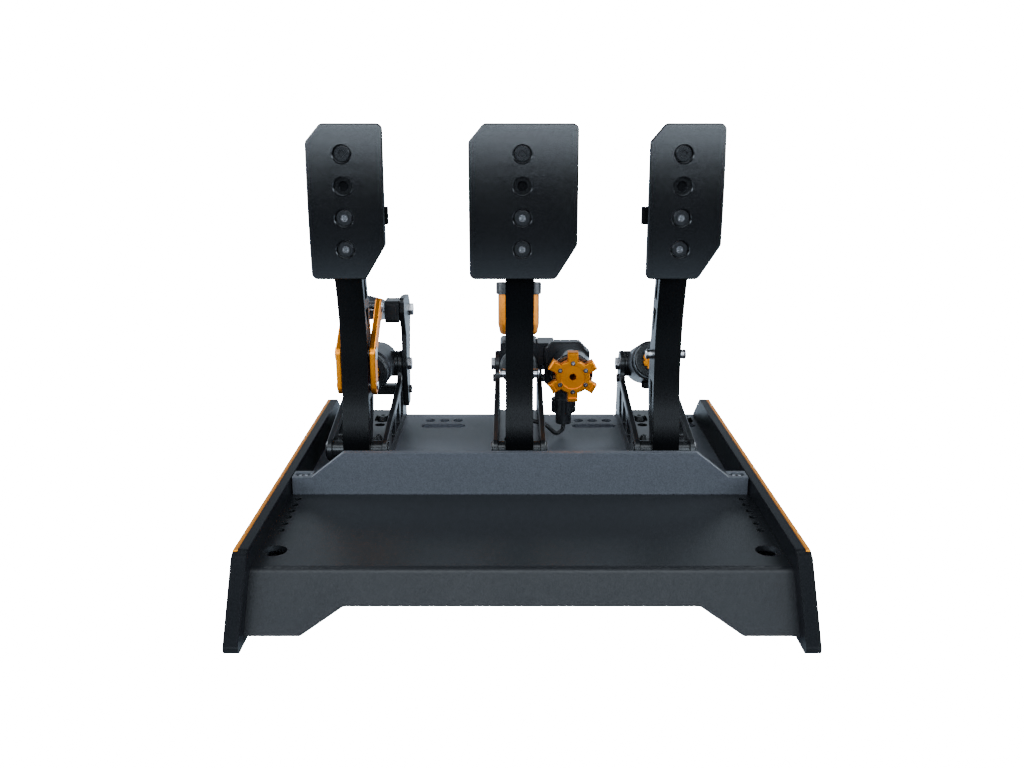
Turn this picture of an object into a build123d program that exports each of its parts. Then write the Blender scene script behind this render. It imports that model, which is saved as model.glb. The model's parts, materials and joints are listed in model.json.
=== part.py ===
from build123d import *
from math import atan2, cos, degrees, hypot, pi, radians, sin, sqrt
import os

# Sim racing pedal set: three sprung pedals on a folded plate base between two side rails.
# X runs to the driver's right, Y away from the driver, Z up. The origin is on the floor, in the middle.

# Side rails
rail_outer = 190.5
rail_thickness = 10.0
rail_inner = rail_outer - rail_thickness
rail_front_end = -229.6
rail_rear_end = 232.5
rail_height = 55.8
rail_front_top = -191.0
rail_rear_top = 164.0
rail_nose_chamfer = 4.5
rail_corner = 4.0
trim_width = 3.5
trim_depth = 4.0
trim_front = -188.5
trim_rear = 224.0
rail_screw_radius = 3.0
rail_screw_clearance = 3.1
rail_screw_head = 5.0
rail_screw_head_height = 2.4
heel_screw_places = ((-150.0, 31.0), (-75.0, 31.0))
deck_screw_places = ((0.0, 19.0), (90.0, 19.0), (172.0, 19.0))

# Rear deck and heel plate
sheet = 4.0
deck_top = 30.1
deck_front = -52.0
deck_rear = 196.5
deck_flange = 20.0
heel_top = 41.7
heel_rear = -44.0
heel_bend = -185.5
fascia_foot = (-211.5, 5.2)
bend_radius = 7.0
cutout_top = 21.0
cutout_half_top = 117.0
cutout_half_foot = 144.0
cutout_foot = 5.5
cutout_corner = 5.0
heel_flange_length = 100.0
heel_flange_depth = 12.0
access_hole_radius = 8.5
access_hole_x = 170.0
access_hole_y = -159.0
stop_hole_radius = 2.75
stop_hole_x = 173.5
stop_hole_pitch = 12.0
stop_hole_first = -64.6
stop_hole_count = 6

# Rig mounting holes in the deck
rig_hole_radius = 5.0
rig_hole_y = 174.7
rig_hole_x = (61.0, 75.0, 89.5)
rig_slot_y = 157.0
rig_slot_x = 75.0
rig_slot_length = 44.0
rig_slot_width = 11.0
corner_hole_radius = 6.5
corner_hole_y = 158.0
corner_x = 170.0
corner_bolt_y = 174.0

# Heel stop
stop_front = -55.7
stop_thickness = 6.0
stop_height = 76.4
stop_half_top = 138.5
stop_corner = 3.0
ear_inner = 164.0
ear_outer = 179.5
ear_depth = 14.7
ear_top = 56.2
ear_slot_length = 12.0
ear_slot_width = 7.6
ear_slot_depth = 5.0
ear_screw_radius = 2.5
ear_screw_head = 3.5
ear_screw_head_height = 4.0

# Pedal frames
base_plate_thickness = 5.0
base_plate_top = deck_top + base_plate_thickness
base_plate_front = 31.0
base_plate_rear = 196.0
base_slot_length = 26.0
base_slot_width = 14.6
base_slot_y = 166.0
base_slot_recess = 2.5
base_slot_through = 8.6
base_hole_y = 144.6
base_hole_radius = 5.0
pivot = (38.3, 47.0)
nose_radius = 9.7
trunnion = (174.0, 90.0)
ear_radius = 13.0
knee_radius = 10.0
plate_thickness = 5.0
plate_chamfer = 0.7
rear_corner_height = 6.0
pivot_radius = 5.0
pivot_head = 7.0
pivot_head_height = 1.2
spacer_radius = 7.5
running_gap = 0.05
side_gap = 0.3
trunnion_radius = 4.0
hex_head = 6.5
hex_head_height = 4.0
dome_radius = 7.0
dome_height = 4.2
dome_taper = 28
dome_shank = 3.0
front_bolt_radius = 5.0
front_bolt_y = 100.0
front_bolt_x = 9.0
ear_bolt = (173.0, 75.5)
ear_bolt_radius = 4.0
window_wall = 6.5
window_rake = 7.0
window_corner = 2.2
window_ends = ((59.0, 91.0), (98.0, 129.0), (136.0, 161.0))

# Arms and their pins
arm_half = 11.3
brake_arm_half = 12.0
pivot_boss = 12.0
boss_bottom = 35.55
arm_top = 312.0
arm_rear_top = 30.0
arm_front_curve = (
    (27.2, 62.0),
    (32.5, 84.0),
    (37.0, 110.0),
    (38.0, 137.0),
    (34.5, 164.0),
    (26.0, 194.0),
)
arm_rear_curve = (
    (32.0, 275.0),
    (38.0, 236.0),
    (50.5, 200.0),
    (60.5, 166.0),
    (67.0, 135.0),
    (69.5, 105.0),
    (64.0, 76.0),
)
arm_face_start = 226.0
pocket_depth = 4.2
pocket_corner = 1.6
pocket_top = ((31.5, 213.0), (38.0, 180.0), (50.0, 180.0))
pocket_middle = ((38.5, 171.0), (52.0, 171.0), (53.5, 146.0))
pocket_low = ((44.0, 106.0), (59.0, 106.0), (46.5, 66.0))
pocket_wall = 2.0
pin_radius = 4.0
pin_chamfer = 0.7
pin_reach = 17.5
pin_stand = 1.0
eye_clearance = 0.85
eye_radius = 7.5
eye_half = 5.0
eye_slot_half = 5.4
eye_slot_radius = 9.3
crossbar_half = 31.0
crossbar_bottom = 246.0
crossbar_top = 260.0
crossbar_thickness = 5.0

# Face plates
face_front = 5.7
face_thickness = 6.0
face_back = face_front + face_thickness
face_bottom = 202.0
face_top = 324.7
face_middle = (face_bottom + face_top) / 2
face_crown = 520.0
face_edge_chamfer = 1.0
face_corner = 5.0
face_screw_z = (301.4, 251.4, 226.4)
face_hole_z = (301.4, 276.4, 251.4, 226.4)
face_upper_cut = (12.0, 14.0)
face_lower_cut = (17.0, 28.0)
face_hole_radius = 3.1
face_bore_radius = 7.3
face_bore_rim = 8.1
face_bore_depth = 4.0
face_screw_radius = 2.9
face_screw_length = 12.0
face_screw_hole = 12.5
face_screw_head = 4.0
face_screw_head_height = 2.4
face_screw_socket = 2.2
face_screw_socket_depth = 1.4

# Barrels and rods
barrel_radius = 19.3
barrel_rear = 21.0
barrel_rear_chamfer = 2.5
barrel_wall_rear = 4.0
barrel_front = 44.0
barrel_bore = 11.5
cap_radius = 17.8
cap_end = 57.0
cap_chamfer = 1.2
recess_radius = 11.0
recess_depth = 6.0
adjuster_radius = 9.8
adjuster_stand = 0.4
adjuster_notches = 8
notch_radius = 1.4
spigot_radius = 7.5
rod_radius = 4.8
piston_rear = 30.0
piston_length = 8.0
piston_radius = 11.2
boss_radius = 12.8
flat_margin = 1.0
washer_thickness = 3.0
trunnion_depth = 6.0

# Clutch, brake and throttle: centre X, half width inside the side plates, and the push-rod pin
clutch_x = -141.5
brake_x = 0.0
throttle_x = 127.0
wide_half = 21.5
brake_half = 18.3
clutch_pin = (50.0, 102.0)
brake_pin = (50.0, 112.6)
throttle_pin = (50.0, 130.0)
clutch_travel = 12.0
brake_travel = 6.0
throttle_travel = 16.0
base_bolt_shift = 5.0

# Face plates: X of the screw column and of both edges, and of the crossbar behind the clutch's
clutch_face_x = -139.8
clutch_face_ends = (-168.4, -107.6)
clutch_bar_x = -136.5
brake_face_x = 1.8
brake_face_ends = (-40.8, 46.0)
throttle_face_x = 128.2
throttle_face_ends = (101.6, 161.0)

# Clutch links and the helper strut above its barrel
link_elbow = (49.0, 131.0)
link_head = (97.0, 163.0)
link_width = 15.0
link_gap = 0.8
link_thickness = 5.0
link_chamfer = 0.8
link_pin_radius = 4.0
link_pin_stand = 2.0
elbow_radius = 3.0
elbow_head = 6.0
elbow_head_height = 0.8
helper_pivot = (200.0, 140.0)
helper_radius = 11.2
helper_rear = 10.0
helper_length = 70.0
helper_bore = 8.2
helper_wall = 4.0
helper_rod_radius = 4.0
helper_eye_radius = 8.0
helper_eye_clearance = 1.1
helper_piston_rear = 27.0
helper_piston_radius = 7.9
helper_bolt_depth = 16.5
helper_foot = (182.0, 61.5)
cross_block_depth = 12.0
cross_block_height = 10.0
guide_front = 145.0
guide_rear = 167.0
guide_bottom = 137.0
guide_top = 158.0
guide_reach = 13.2
guide_chamfer = 3.0
bracket_corner = 4.0
bracket_outline = (
    (150.0, 160.0),
    (150.0, 146.0),
    (164.0, 122.0),
    (161.0, 90.0),
    (171.0, 46.0),
    (191.0, 46.0),
    (196.0, 90.0),
    (209.0, 130.0),
    (209.0, 146.0),
    (198.0, 156.0),
    (168.0, 160.0),
)

# Brake cylinder, reservoir and elastomer unit
block_front = 134.5
block_rear = 168.0
block_bottom = 97.0
block_top = 120.0
block_half = 18.0
block_chamfer = 2.0
reservoir_y = 150.0
reservoir_radius = 20.0
reservoir_foot = 18.3
reservoir_bottom = 126.5
reservoir_shoulder = 137.0
reservoir_top = 165.0
reservoir_bore = 17.0
reservoir_floor = 131.0
neck_radius = 8.0
lid_radius = 22.0
lid_top = 177.0
lid_flutes = 14
flute_radius = 2.4
lid_plug = 5.0
unit_x = 49.0
unit_z = 99.7
unit_left = 24.5
unit_right = 67.5
unit_bottom = 76.0
unit_top = 122.6
unit_cut_top_left = 6.5
unit_cut_top_right = 10.0
unit_cut_bottom = 7.0
unit_chamfer = 1.2
unit_front = 127.0
unit_rear = 139.0
unit_body_rear = 172.0
unit_body_radius = 15.0
beam_bottom = 99.5
beam_rear = 160.0
beam_right = 34.0
sleeve_radius = 19.3
sleeve_front = 95.0
sleeve_wall = 5.0
sleeve_bore = 14.0
sleeve_chamfer = 1.0
knob_front = 84.0
knob_rear = 93.0
knob_hub = 15.5
knob_tip = 23.2
knob_prong = 9.5
knob_prongs = 6
knob_chamfer = 0.8
knob_lip = 3.0
knob_lip_height = 1.5
knob_dish = 11.0
knob_dish_depth = 1.2
knob_hole = 3.2
knob_shaft = 6.0
knob_shaft_end = 112.0

# Pressure sensor and its cable
sensor_x = 43.5
sensor_y = 134.0
sensor_body = 9.0
nut_top = 66.4
nut_bottom = 52.0
nut_radius = 12.0
neck_bottom = 41.0
sensor_neck = 7.5
cable_radius = 2.0
cable_points = (
    (sensor_x, sensor_y, neck_bottom),
    (sensor_x, sensor_y, 34.3),
    (36.0, 118.0, 34.0),
    (25.0, 114.0, 46.0),
    (12.0, 118.0, 48.0),
    (3.0, 124.0, 42.5),
    (3.0, 124.0, base_plate_top),
)
cable_radii = (4.0, 9.0, 10.0, 11.0, 5.5)
gland_radius = 4.5
gland_height = 3.0

os.makedirs("parts", exist_ok=True)


def keep(piece, name):
    """Label a finished piece and write it to its own file."""
    piece.part.label = name
    export_step(piece.part, f"parts/{name}.step")


def side_view(x):
    """A sketch plane seen from the side: Y across and Z up, at the given X."""
    return Plane.YZ.offset(x)


def front_view(y):
    """A sketch plane seen from the driver: X across and Z up, at the given Y."""
    return Plane.XZ.offset(-y)


def level(z):
    """A sketch plane seen from above, at the given height."""
    return Plane.XY.offset(z)


def axis_frame(x, origin, target):
    """A frame at a pivot, its Z axis pointing along a cylinder towards its target."""
    return Plane(
        origin=(x, origin[0], origin[1]),
        x_dir=(1, 0, 0),
        z_dir=(0, target[0] - origin[0], target[1] - origin[1]),
    )


def distance(first, second):
    """Distance between two points seen from the side."""
    return hypot(second[0] - first[0], second[1] - first[1])


def bar(start, end, width):
    """A round-ended bar in the open sketch, from one point to another."""
    slope = degrees(atan2(end[1] - start[1], end[0] - start[0]))
    with Locations(((start[0] + end[0]) / 2, (start[1] + end[1]) / 2)):
        SlotCenterToCenter(distance(start, end), width, rotation=slope)


def hole_across(low_x, high_x, places, radius):
    """Cut round holes along X through the open part, between two X positions."""
    with BuildSketch(side_view(low_x)) as section:
        with Locations(*places):
            Circle(radius)
    extrude(section.sketch, amount=high_x - low_x, mode=Mode.SUBTRACT)


def rod_across(low_x, high_x, place, radius):
    """A round bar along X in the open part, between two X positions."""
    with BuildSketch(side_view(low_x)) as section:
        with Locations(place):
            Circle(radius)
    extrude(section.sketch, amount=high_x - low_x)


def dome_bolt(x, y, under_head, length, radius):
    """A dome-headed bolt with a hex socket, standing in the open part."""
    with BuildSketch(level(under_head)) as head:
        with Locations((x, y)):
            Circle(radius)
    extrude(head.sketch, amount=dome_height, taper=dome_taper)
    with BuildSketch(level(under_head)) as shank:
        with Locations((x, y)):
            Circle(dome_shank)
    extrude(shank.sketch, amount=-length)
    with BuildSketch(level(under_head + dome_height)) as socket:
        with Locations((x, y)):
            RegularPolygon(radius / 3, 6)
    extrude(socket.sketch, amount=-dome_height / 2, mode=Mode.SUBTRACT)


def side_bolt(outer_x, side, place, length, shank, head, height):
    """A dome-headed bolt along X, its head on the outer face at outer_x."""
    with BuildSketch(side_view(outer_x)) as stem:
        with Locations(place):
            Circle(shank)
    extrude(stem.sketch, amount=-side * length)
    with BuildSketch(side_view(outer_x)) as disc:
        with Locations(place):
            Circle(head)
    extrude(disc.sketch, amount=side * height)
    with BuildSketch(side_view(outer_x + side * height)) as socket:
        with Locations(place):
            RegularPolygon(head / 2.6, 6)
    extrude(socket.sketch, amount=-side * height / 2, mode=Mode.SUBTRACT)


# Side rails with their trim

def trim_band():
    """The band along a rail's top edge and down its rear slope, in the open sketch."""
    slope = rail_height / (rail_rear_end - rail_rear_top)
    trim_foot = (trim_rear, slope * (rail_rear_end - trim_rear))
    with BuildLine() as band:
        Polyline((trim_front, rail_height), (rail_rear_top, rail_height), trim_foot)
        offset(amount=trim_depth, side=Side.RIGHT)
    make_face(band.edges())


def make_rail(name, side):
    """One side rail: a long wedge with a step for the trim and five screw holes."""
    low_x = min(side * rail_inner, side * rail_outer)
    with BuildPart() as rail:
        with BuildSketch(side_view(low_x)) as outline:
            with BuildLine():
                Polyline(
                    (rail_front_end, 0),
                    (rail_front_top, rail_height),
                    (rail_rear_top, rail_height),
                    (rail_rear_end, 0),
                    close=True,
                )
            make_face()
            nose = outline.vertices().sort_by_distance((rail_front_top, rail_height))[0]
            chamfer(nose, rail_nose_chamfer)
            fillet(outline.vertices().group_by(Axis.Y)[0], rail_corner)
        extrude(amount=rail_thickness)
        with BuildSketch(side_view(side * rail_outer)):
            trim_band()
        extrude(amount=-side * trim_width, mode=Mode.SUBTRACT)
        places = heel_screw_places + deck_screw_places
        hole_across(low_x, low_x + rail_thickness, places, rail_screw_clearance)
    keep(rail, name)


def make_trims():
    """Both coloured strips, one solid on each rail."""
    with BuildPart() as trims:
        for side in (-1, 1):
            with BuildSketch(side_view(side * rail_outer)):
                trim_band()
            extrude(amount=-side * trim_width)
    keep(trims, "rail_trims")


def make_rail_screws():
    """Button screws through both rails into the side flanges of the plates."""
    with BuildPart() as screws:
        for side in (-1, 1):
            for place in heel_screw_places + deck_screw_places:
                side_bolt(
                    side * rail_outer,
                    side,
                    place,
                    rail_thickness + sheet,
                    rail_screw_radius,
                    rail_screw_head,
                    rail_screw_head_height,
                )
    keep(screws, "rail_screws")


# Rear deck, heel plate and heel stop

def base_bolt_places():
    """Where dome bolts hold the three pedal frames on the deck, at the rear."""
    y = base_slot_y + base_bolt_shift
    return ((clutch_x + base_bolt_shift, y), (brake_x, y), (throttle_x - base_bolt_shift, y))


def front_bolt_places():
    """Where two bolts hold each pedal frame on the deck, between its side plates."""
    places = []
    for centre, half in pedal_frames():
        for side in (-1, 1):
            places.append((centre + side * front_bolt_x, front_bolt_y))
    return tuple(places)


def pedal_frames():
    """Centre and inside half width of the clutch, brake and throttle frames."""
    return ((clutch_x, wide_half), (brake_x, brake_half), (throttle_x, wide_half))


def make_rear_deck():
    """Folded deck with side flanges, rear flange, rig holes and slots."""
    length = deck_rear - deck_front
    middle = (deck_front + deck_rear) / 2
    with BuildPart() as deck:
        with BuildSketch(level(deck_top)):
            with Locations((0, middle)):
                Rectangle(2 * rail_inner, length)
        extrude(amount=-deck_flange)
        with BuildSketch(level(deck_top - sheet)):
            with Locations((0, middle - sheet)):
                Rectangle(2 * (rail_inner - sheet), length)
        extrude(amount=-deck_flange, mode=Mode.SUBTRACT)
        with BuildSketch(level(deck_top)):
            for side in (-1, 1):
                with Locations(*[(side * x, rig_hole_y) for x in rig_hole_x]):
                    Circle(rig_hole_radius)
                with Locations((side * rig_slot_x, rig_slot_y)):
                    SlotOverall(rig_slot_length, rig_slot_width)
                with Locations((side * corner_x, corner_hole_y)):
                    Circle(corner_hole_radius)
            with Locations((corner_x, corner_bolt_y)):
                Circle(dome_shank)
            with Locations(*base_bolt_places()):
                Circle(dome_shank)
            with Locations(*front_bolt_places()):
                Circle(dome_shank)
        extrude(amount=-sheet, mode=Mode.SUBTRACT)
        for side in (-1, 1):
            low_x = min(side * rail_inner, side * (rail_inner - sheet))
            hole_across(low_x, low_x + sheet, deck_screw_places, rail_screw_radius)
    keep(deck, "rear_deck")


def make_heel_plate():
    """Folded heel plate: flat top, rear step down to the deck, sloping front with a cut-out."""
    with BuildPart() as plate:
        with BuildSketch(side_view(-rail_inner)):
            with BuildLine():
                FilletPolyline(
                    (heel_rear, deck_top),
                    (heel_rear, heel_top),
                    (heel_bend, heel_top),
                    fascia_foot,
                    radius=bend_radius,
                )
                offset(amount=sheet, side=Side.LEFT)
            make_face()
        extrude(amount=2 * rail_inner)
        with BuildSketch(front_view(heel_bend)):
            with BuildLine():
                FilletPolyline(
                    (-rail_inner, cutout_foot),
                    (-cutout_half_foot, cutout_foot),
                    (-cutout_half_top, cutout_top),
                    (cutout_half_top, cutout_top),
                    (cutout_half_foot, cutout_foot),
                    (rail_inner, cutout_foot),
                    radius=cutout_corner,
                )
                Polyline((rail_inner, cutout_foot), (rail_inner, 0), (-rail_inner, 0), (-rail_inner, cutout_foot))
            make_face()
        extrude(amount=heel_flange_length, mode=Mode.SUBTRACT)
        for side in (-1, 1):
            with BuildSketch(level(heel_top - sheet)):
                with Locations((side * (rail_inner - sheet / 2), (heel_bend + heel_rear) / 2)):
                    Rectangle(sheet, heel_flange_length)
            extrude(amount=-heel_flange_depth)
            low_x = min(side * rail_inner, side * (rail_inner - sheet))
            hole_across(low_x, low_x + sheet, heel_screw_places, rail_screw_radius)
        with BuildSketch(level(heel_top)):
            for side in (-1, 1):
                with Locations((side * access_hole_x, access_hole_y)):
                    Circle(access_hole_radius)
                steps = range(stop_hole_count)
                with Locations(*[(side * stop_hole_x, stop_hole_first - k * stop_hole_pitch) for k in steps]):
                    Circle(stop_hole_radius)
                with Locations((side * ear_middle(), stop_front + ear_depth / 2)):
                    Circle(ear_screw_radius)
        extrude(amount=-sheet, mode=Mode.SUBTRACT)
    keep(plate, "heel_plate")


def ear_middle():
    """Distance of an ear's screw from the middle of the heel stop."""
    return (ear_inner + ear_outer) / 2


def make_heel_stop():
    """Upright bar across the heel plate, with a slotted ear at each end."""
    with BuildPart() as stop:
        with BuildSketch(front_view(stop_front)) as outline:
            with BuildLine():
                Polyline(
                    (-ear_outer, heel_top),
                    (-ear_outer, ear_top),
                    (-ear_inner, ear_top),
                    (-stop_half_top, stop_height),
                    (stop_half_top, stop_height),
                    (ear_inner, ear_top),
                    (ear_outer, ear_top),
                    (ear_outer, heel_top),
                    close=True,
                )
            make_face()
            fillet(outline.vertices().group_by(Axis.Y)[-1], stop_corner)
        extrude(amount=-stop_thickness)
        for side in (-1, 1):
            with BuildSketch(level(heel_top)):
                with Locations((side * ear_middle(), stop_front + ear_depth / 2)):
                    Rectangle(ear_outer - ear_inner, ear_depth)
            extrude(amount=ear_top - heel_top)
            with BuildSketch(level(ear_top)):
                with Locations((side * ear_middle(), stop_front + ear_depth / 2)):
                    SlotOverall(ear_slot_length, ear_slot_width)
            extrude(amount=-ear_slot_depth, mode=Mode.SUBTRACT)
            with BuildSketch(level(ear_top)):
                with Locations((side * ear_middle(), stop_front + ear_depth / 2)):
                    Circle(ear_screw_radius)
            extrude(amount=heel_top - ear_top, mode=Mode.SUBTRACT)
    keep(stop, "heel_stop")


def make_heel_stop_screws():
    """A socket screw standing in each ear's slot and going down into the heel plate."""
    seat = ear_top - ear_slot_depth
    with BuildPart() as screws:
        for side in (-1, 1):
            with BuildSketch(level(seat)):
                with Locations((side * ear_middle(), stop_front + ear_depth / 2)):
                    Circle(ear_screw_head)
            extrude(amount=ear_screw_head_height)
            with BuildSketch(level(seat)):
                with Locations((side * ear_middle(), stop_front + ear_depth / 2)):
                    Circle(ear_screw_radius)
            extrude(amount=heel_top - sheet - seat)
            with BuildSketch(level(seat + ear_screw_head_height)):
                with Locations((side * ear_middle(), stop_front + ear_depth / 2)):
                    RegularPolygon(ear_screw_head / 2, 6)
            extrude(amount=-ear_screw_head_height / 2, mode=Mode.SUBTRACT)
    keep(screws, "heel_stop_screws")


# Pedal frames

def frame_edge_height(y):
    """Height of a side plate's sloping top edge at a given Y."""
    start = (pivot[0], pivot[1] + nose_radius)
    end = (trunnion[0] - ear_radius, trunnion[1] - ear_radius)
    return start[1] + (y - start[0]) * (end[1] - start[1]) / (end[0] - start[0])


def make_side_plate(name, low_x, extra_holes):
    """Truss side plate: round nose at the pedal pivot, ear at the barrel's trunnion, three windows."""
    knee = (trunnion[0] - ear_radius, trunnion[1] - ear_radius)
    floor = base_plate_top + window_wall
    with BuildPart() as plate:
        with BuildSketch(side_view(low_x)) as outline:
            with BuildLine():
                Polyline(
                    (pivot[0], base_plate_top),
                    (pivot[0], pivot[1] + nose_radius),
                    knee,
                    (trunnion[0] - ear_radius, trunnion[1]),
                    (trunnion[0] + ear_radius, trunnion[1]),
                    (base_plate_rear, base_plate_top + rear_corner_height),
                    (base_plate_rear, base_plate_top),
                    close=True,
                )
            make_face()
            fillet(outline.vertices().sort_by_distance(knee)[0], knee_radius)
            with Locations(pivot):
                Circle(nose_radius)
            with Locations(trunnion):
                Circle(ear_radius)
        extrude(amount=plate_thickness)
        for face in plate.faces().filter_by(Axis.X):
            chamfer(face.outer_wire().edges(), plate_chamfer)
        with BuildSketch(side_view(low_x)) as windows:
            for start, end in window_ends:
                with BuildLine():
                    Polyline(
                        (start, floor),
                        (end, floor),
                        (end, frame_edge_height(end) - window_wall),
                        (start + window_rake, frame_edge_height(start + window_rake) - window_wall),
                        close=True,
                    )
                make_face()
            fillet(windows.vertices(), window_corner)
        extrude(amount=plate_thickness, mode=Mode.SUBTRACT)
        hole_across(low_x, low_x + plate_thickness, (pivot,), pivot_radius)
        hole_across(low_x, low_x + plate_thickness, (trunnion,), trunnion_radius)
        hole_across(low_x, low_x + plate_thickness, extra_holes, elbow_radius)
    keep(plate, name)


def make_base_plate(name, centre, half, bolt_x):
    """Base plate of one pedal, with its counterbored slot, a round hole and bolt holes."""
    outer = half + plate_thickness
    with BuildPart() as plate:
        with BuildSketch(level(deck_top)):
            with Locations((centre, (base_plate_front + base_plate_rear) / 2)):
                Rectangle(2 * outer, base_plate_rear - base_plate_front)
        extrude(amount=base_plate_thickness)
        with BuildSketch(level(base_plate_top)):
            with Locations((bolt_x, base_slot_y)):
                SlotOverall(base_slot_length, base_slot_width, rotation=90)
        extrude(amount=-base_slot_recess, mode=Mode.SUBTRACT)
        with BuildSketch(level(base_plate_top)):
            with Locations((bolt_x, base_slot_y)):
                SlotOverall(base_slot_length - base_slot_width + base_slot_through, base_slot_through, rotation=90)
            with Locations((bolt_x, base_hole_y)):
                Circle(base_hole_radius)
            for side in (-1, 1):
                with Locations((centre + side * front_bolt_x, front_bolt_y)):
                    Circle(dome_shank)
        extrude(amount=-base_plate_thickness, mode=Mode.SUBTRACT)
        if name == "brake_base_plate":
            cable_end = cable_points[-1]
            with BuildSketch(level(base_plate_top)):
                with Locations((cable_end[0], cable_end[1])):
                    Circle(gland_radius)
                    Circle(cable_radius, mode=Mode.SUBTRACT)
            extrude(amount=gland_height)
    keep(plate, name)


def make_module_bolts():
    """Dome bolts that hold the pedal frames, the deck's rear corners and the side plates' ears."""
    seat = base_plate_top - base_slot_recess
    with BuildPart() as bolts:
        for x, y in base_bolt_places():
            dome_bolt(x, y, seat, seat - deck_top + sheet, dome_radius)
        dome_bolt(corner_x, corner_bolt_y, deck_top, sheet, dome_radius)
        for x, y in front_bolt_places():
            dome_bolt(x, y, base_plate_top, base_plate_thickness + sheet, front_bolt_radius)
        for centre, half in pedal_frames():
            for side in (-1, 1):
                outer = centre + side * (half + plate_thickness)
                if centre == clutch_x:
                    place = helper_foot
                    stand = plate_thickness
                else:
                    place = ear_bolt
                    stand = 0.0
                side_bolt(
                    outer + side * stand,
                    side,
                    place,
                    plate_thickness + stand,
                    elbow_radius,
                    ear_bolt_radius + running_gap,
                    rail_screw_head_height,
                )
    keep(bolts, "module_bolts")


def make_pivot_bolts():
    """The three pedal shafts with a low round head outside each side plate."""
    with BuildPart() as bolts:
        for centre, half in pedal_frames():
            outer = half + plate_thickness
            rod_across(centre - outer, centre + outer, pivot, pivot_radius)
            rod_across(centre - outer - pivot_head_height, centre - outer, pivot, pivot_head)
            rod_across(centre + outer, centre + outer + pivot_head_height, pivot, pivot_head)
    keep(bolts, "pivot_bolts")


def arm_half_at(centre):
    """Half the width of the arm that stands at a given X: the brake's is the wider one."""
    return brake_arm_half if centre == brake_x else arm_half


def ring_across(low_x, high_x, place, outer, inner):
    """A round ring along X in the open part, between two X positions."""
    with BuildSketch(side_view(low_x)) as section:
        with Locations(place):
            Circle(outer)
            Circle(inner, mode=Mode.SUBTRACT)
    extrude(section.sketch, amount=high_x - low_x)


def make_pivot_spacers():
    """Round spacers on the shafts, between each arm and its side plates."""
    with BuildPart() as spacers:
        for centre, half in pedal_frames():
            inner = arm_half_at(centre) + side_gap
            ring_across(centre - half, centre - inner, pivot, spacer_radius, pivot_radius)
            ring_across(centre + inner, centre + half, pivot, spacer_radius, pivot_radius)
    keep(spacers, "pivot_spacers")


def make_trunnion_washers():
    """Wide washers between the tilting barrels and their side plates."""
    with BuildPart() as washers:
        for centre in (clutch_x, throttle_x):
            inner = wide_half - washer_thickness
            ring_across(centre - wide_half, centre - inner, trunnion, boss_radius, trunnion_radius)
            ring_across(centre + inner, centre + wide_half, trunnion, boss_radius, trunnion_radius)
    keep(washers, "trunnion_washers")


def hex_bolt(outer_x, side, place, length):
    """A hex-headed bolt along X in the open part, its head on the face at outer_x."""
    with BuildSketch(side_view(outer_x)) as stem:
        with Locations(place):
            Circle(trunnion_radius)
    extrude(stem.sketch, amount=-side * length)
    with BuildSketch(side_view(outer_x)) as head:
        with Locations(place):
            RegularPolygon(hex_head, 6)
    extrude(head.sketch, amount=side * hex_head_height)


def make_trunnion_bolts():
    """Hex bolts that carry the barrels in the side plates, and the helper strut in its brackets."""
    with BuildPart() as bolts:
        for centre, half in pedal_frames():
            stand = plate_thickness if centre == clutch_x else 0.0
            for side in (-1, 1):
                outer = centre + side * (half + plate_thickness + stand)
                hex_bolt(outer, side, trunnion, plate_thickness + stand + trunnion_depth)
        for side in (-1, 1):
            outer = clutch_x + side * (wide_half + 2 * plate_thickness)
            hex_bolt(outer, side, helper_pivot, plate_thickness + helper_bolt_depth)
    keep(bolts, "trunnion_bolts")


# Arms, pins and face plates

def arm_outline():
    """Curved arm seen from the side, in the open sketch."""
    with BuildLine() as profile:
        front = Spline(
            (pivot[0] - pivot_boss, pivot[1]),
            *arm_front_curve,
            (face_back, arm_face_start),
            tangents=((0, 1), (-0.4, 0.9)),
        )
        Polyline(front @ 1, (face_back, arm_top), (arm_rear_top, arm_top))
        rear = Spline(
            (arm_rear_top, arm_top),
            *arm_rear_curve,
            (pivot[0] + pivot_boss, pivot[1]),
            tangents=((0, -1), (-0.1, -1)),
        )
        ThreePointArc(rear @ 1, (pivot[0], boss_bottom), front @ 0)
    make_face(profile.edges())


def pocket_corners(pin):
    """Corners of the triangular pockets milled in both sides of an arm."""
    front, rear, tip = pocket_low
    low_top = min(pin[1] - eye_slot_radius - pocket_wall, front[1])
    return (pocket_top, pocket_middle, ((front[0], low_top), (rear[0], low_top), tip))


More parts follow.
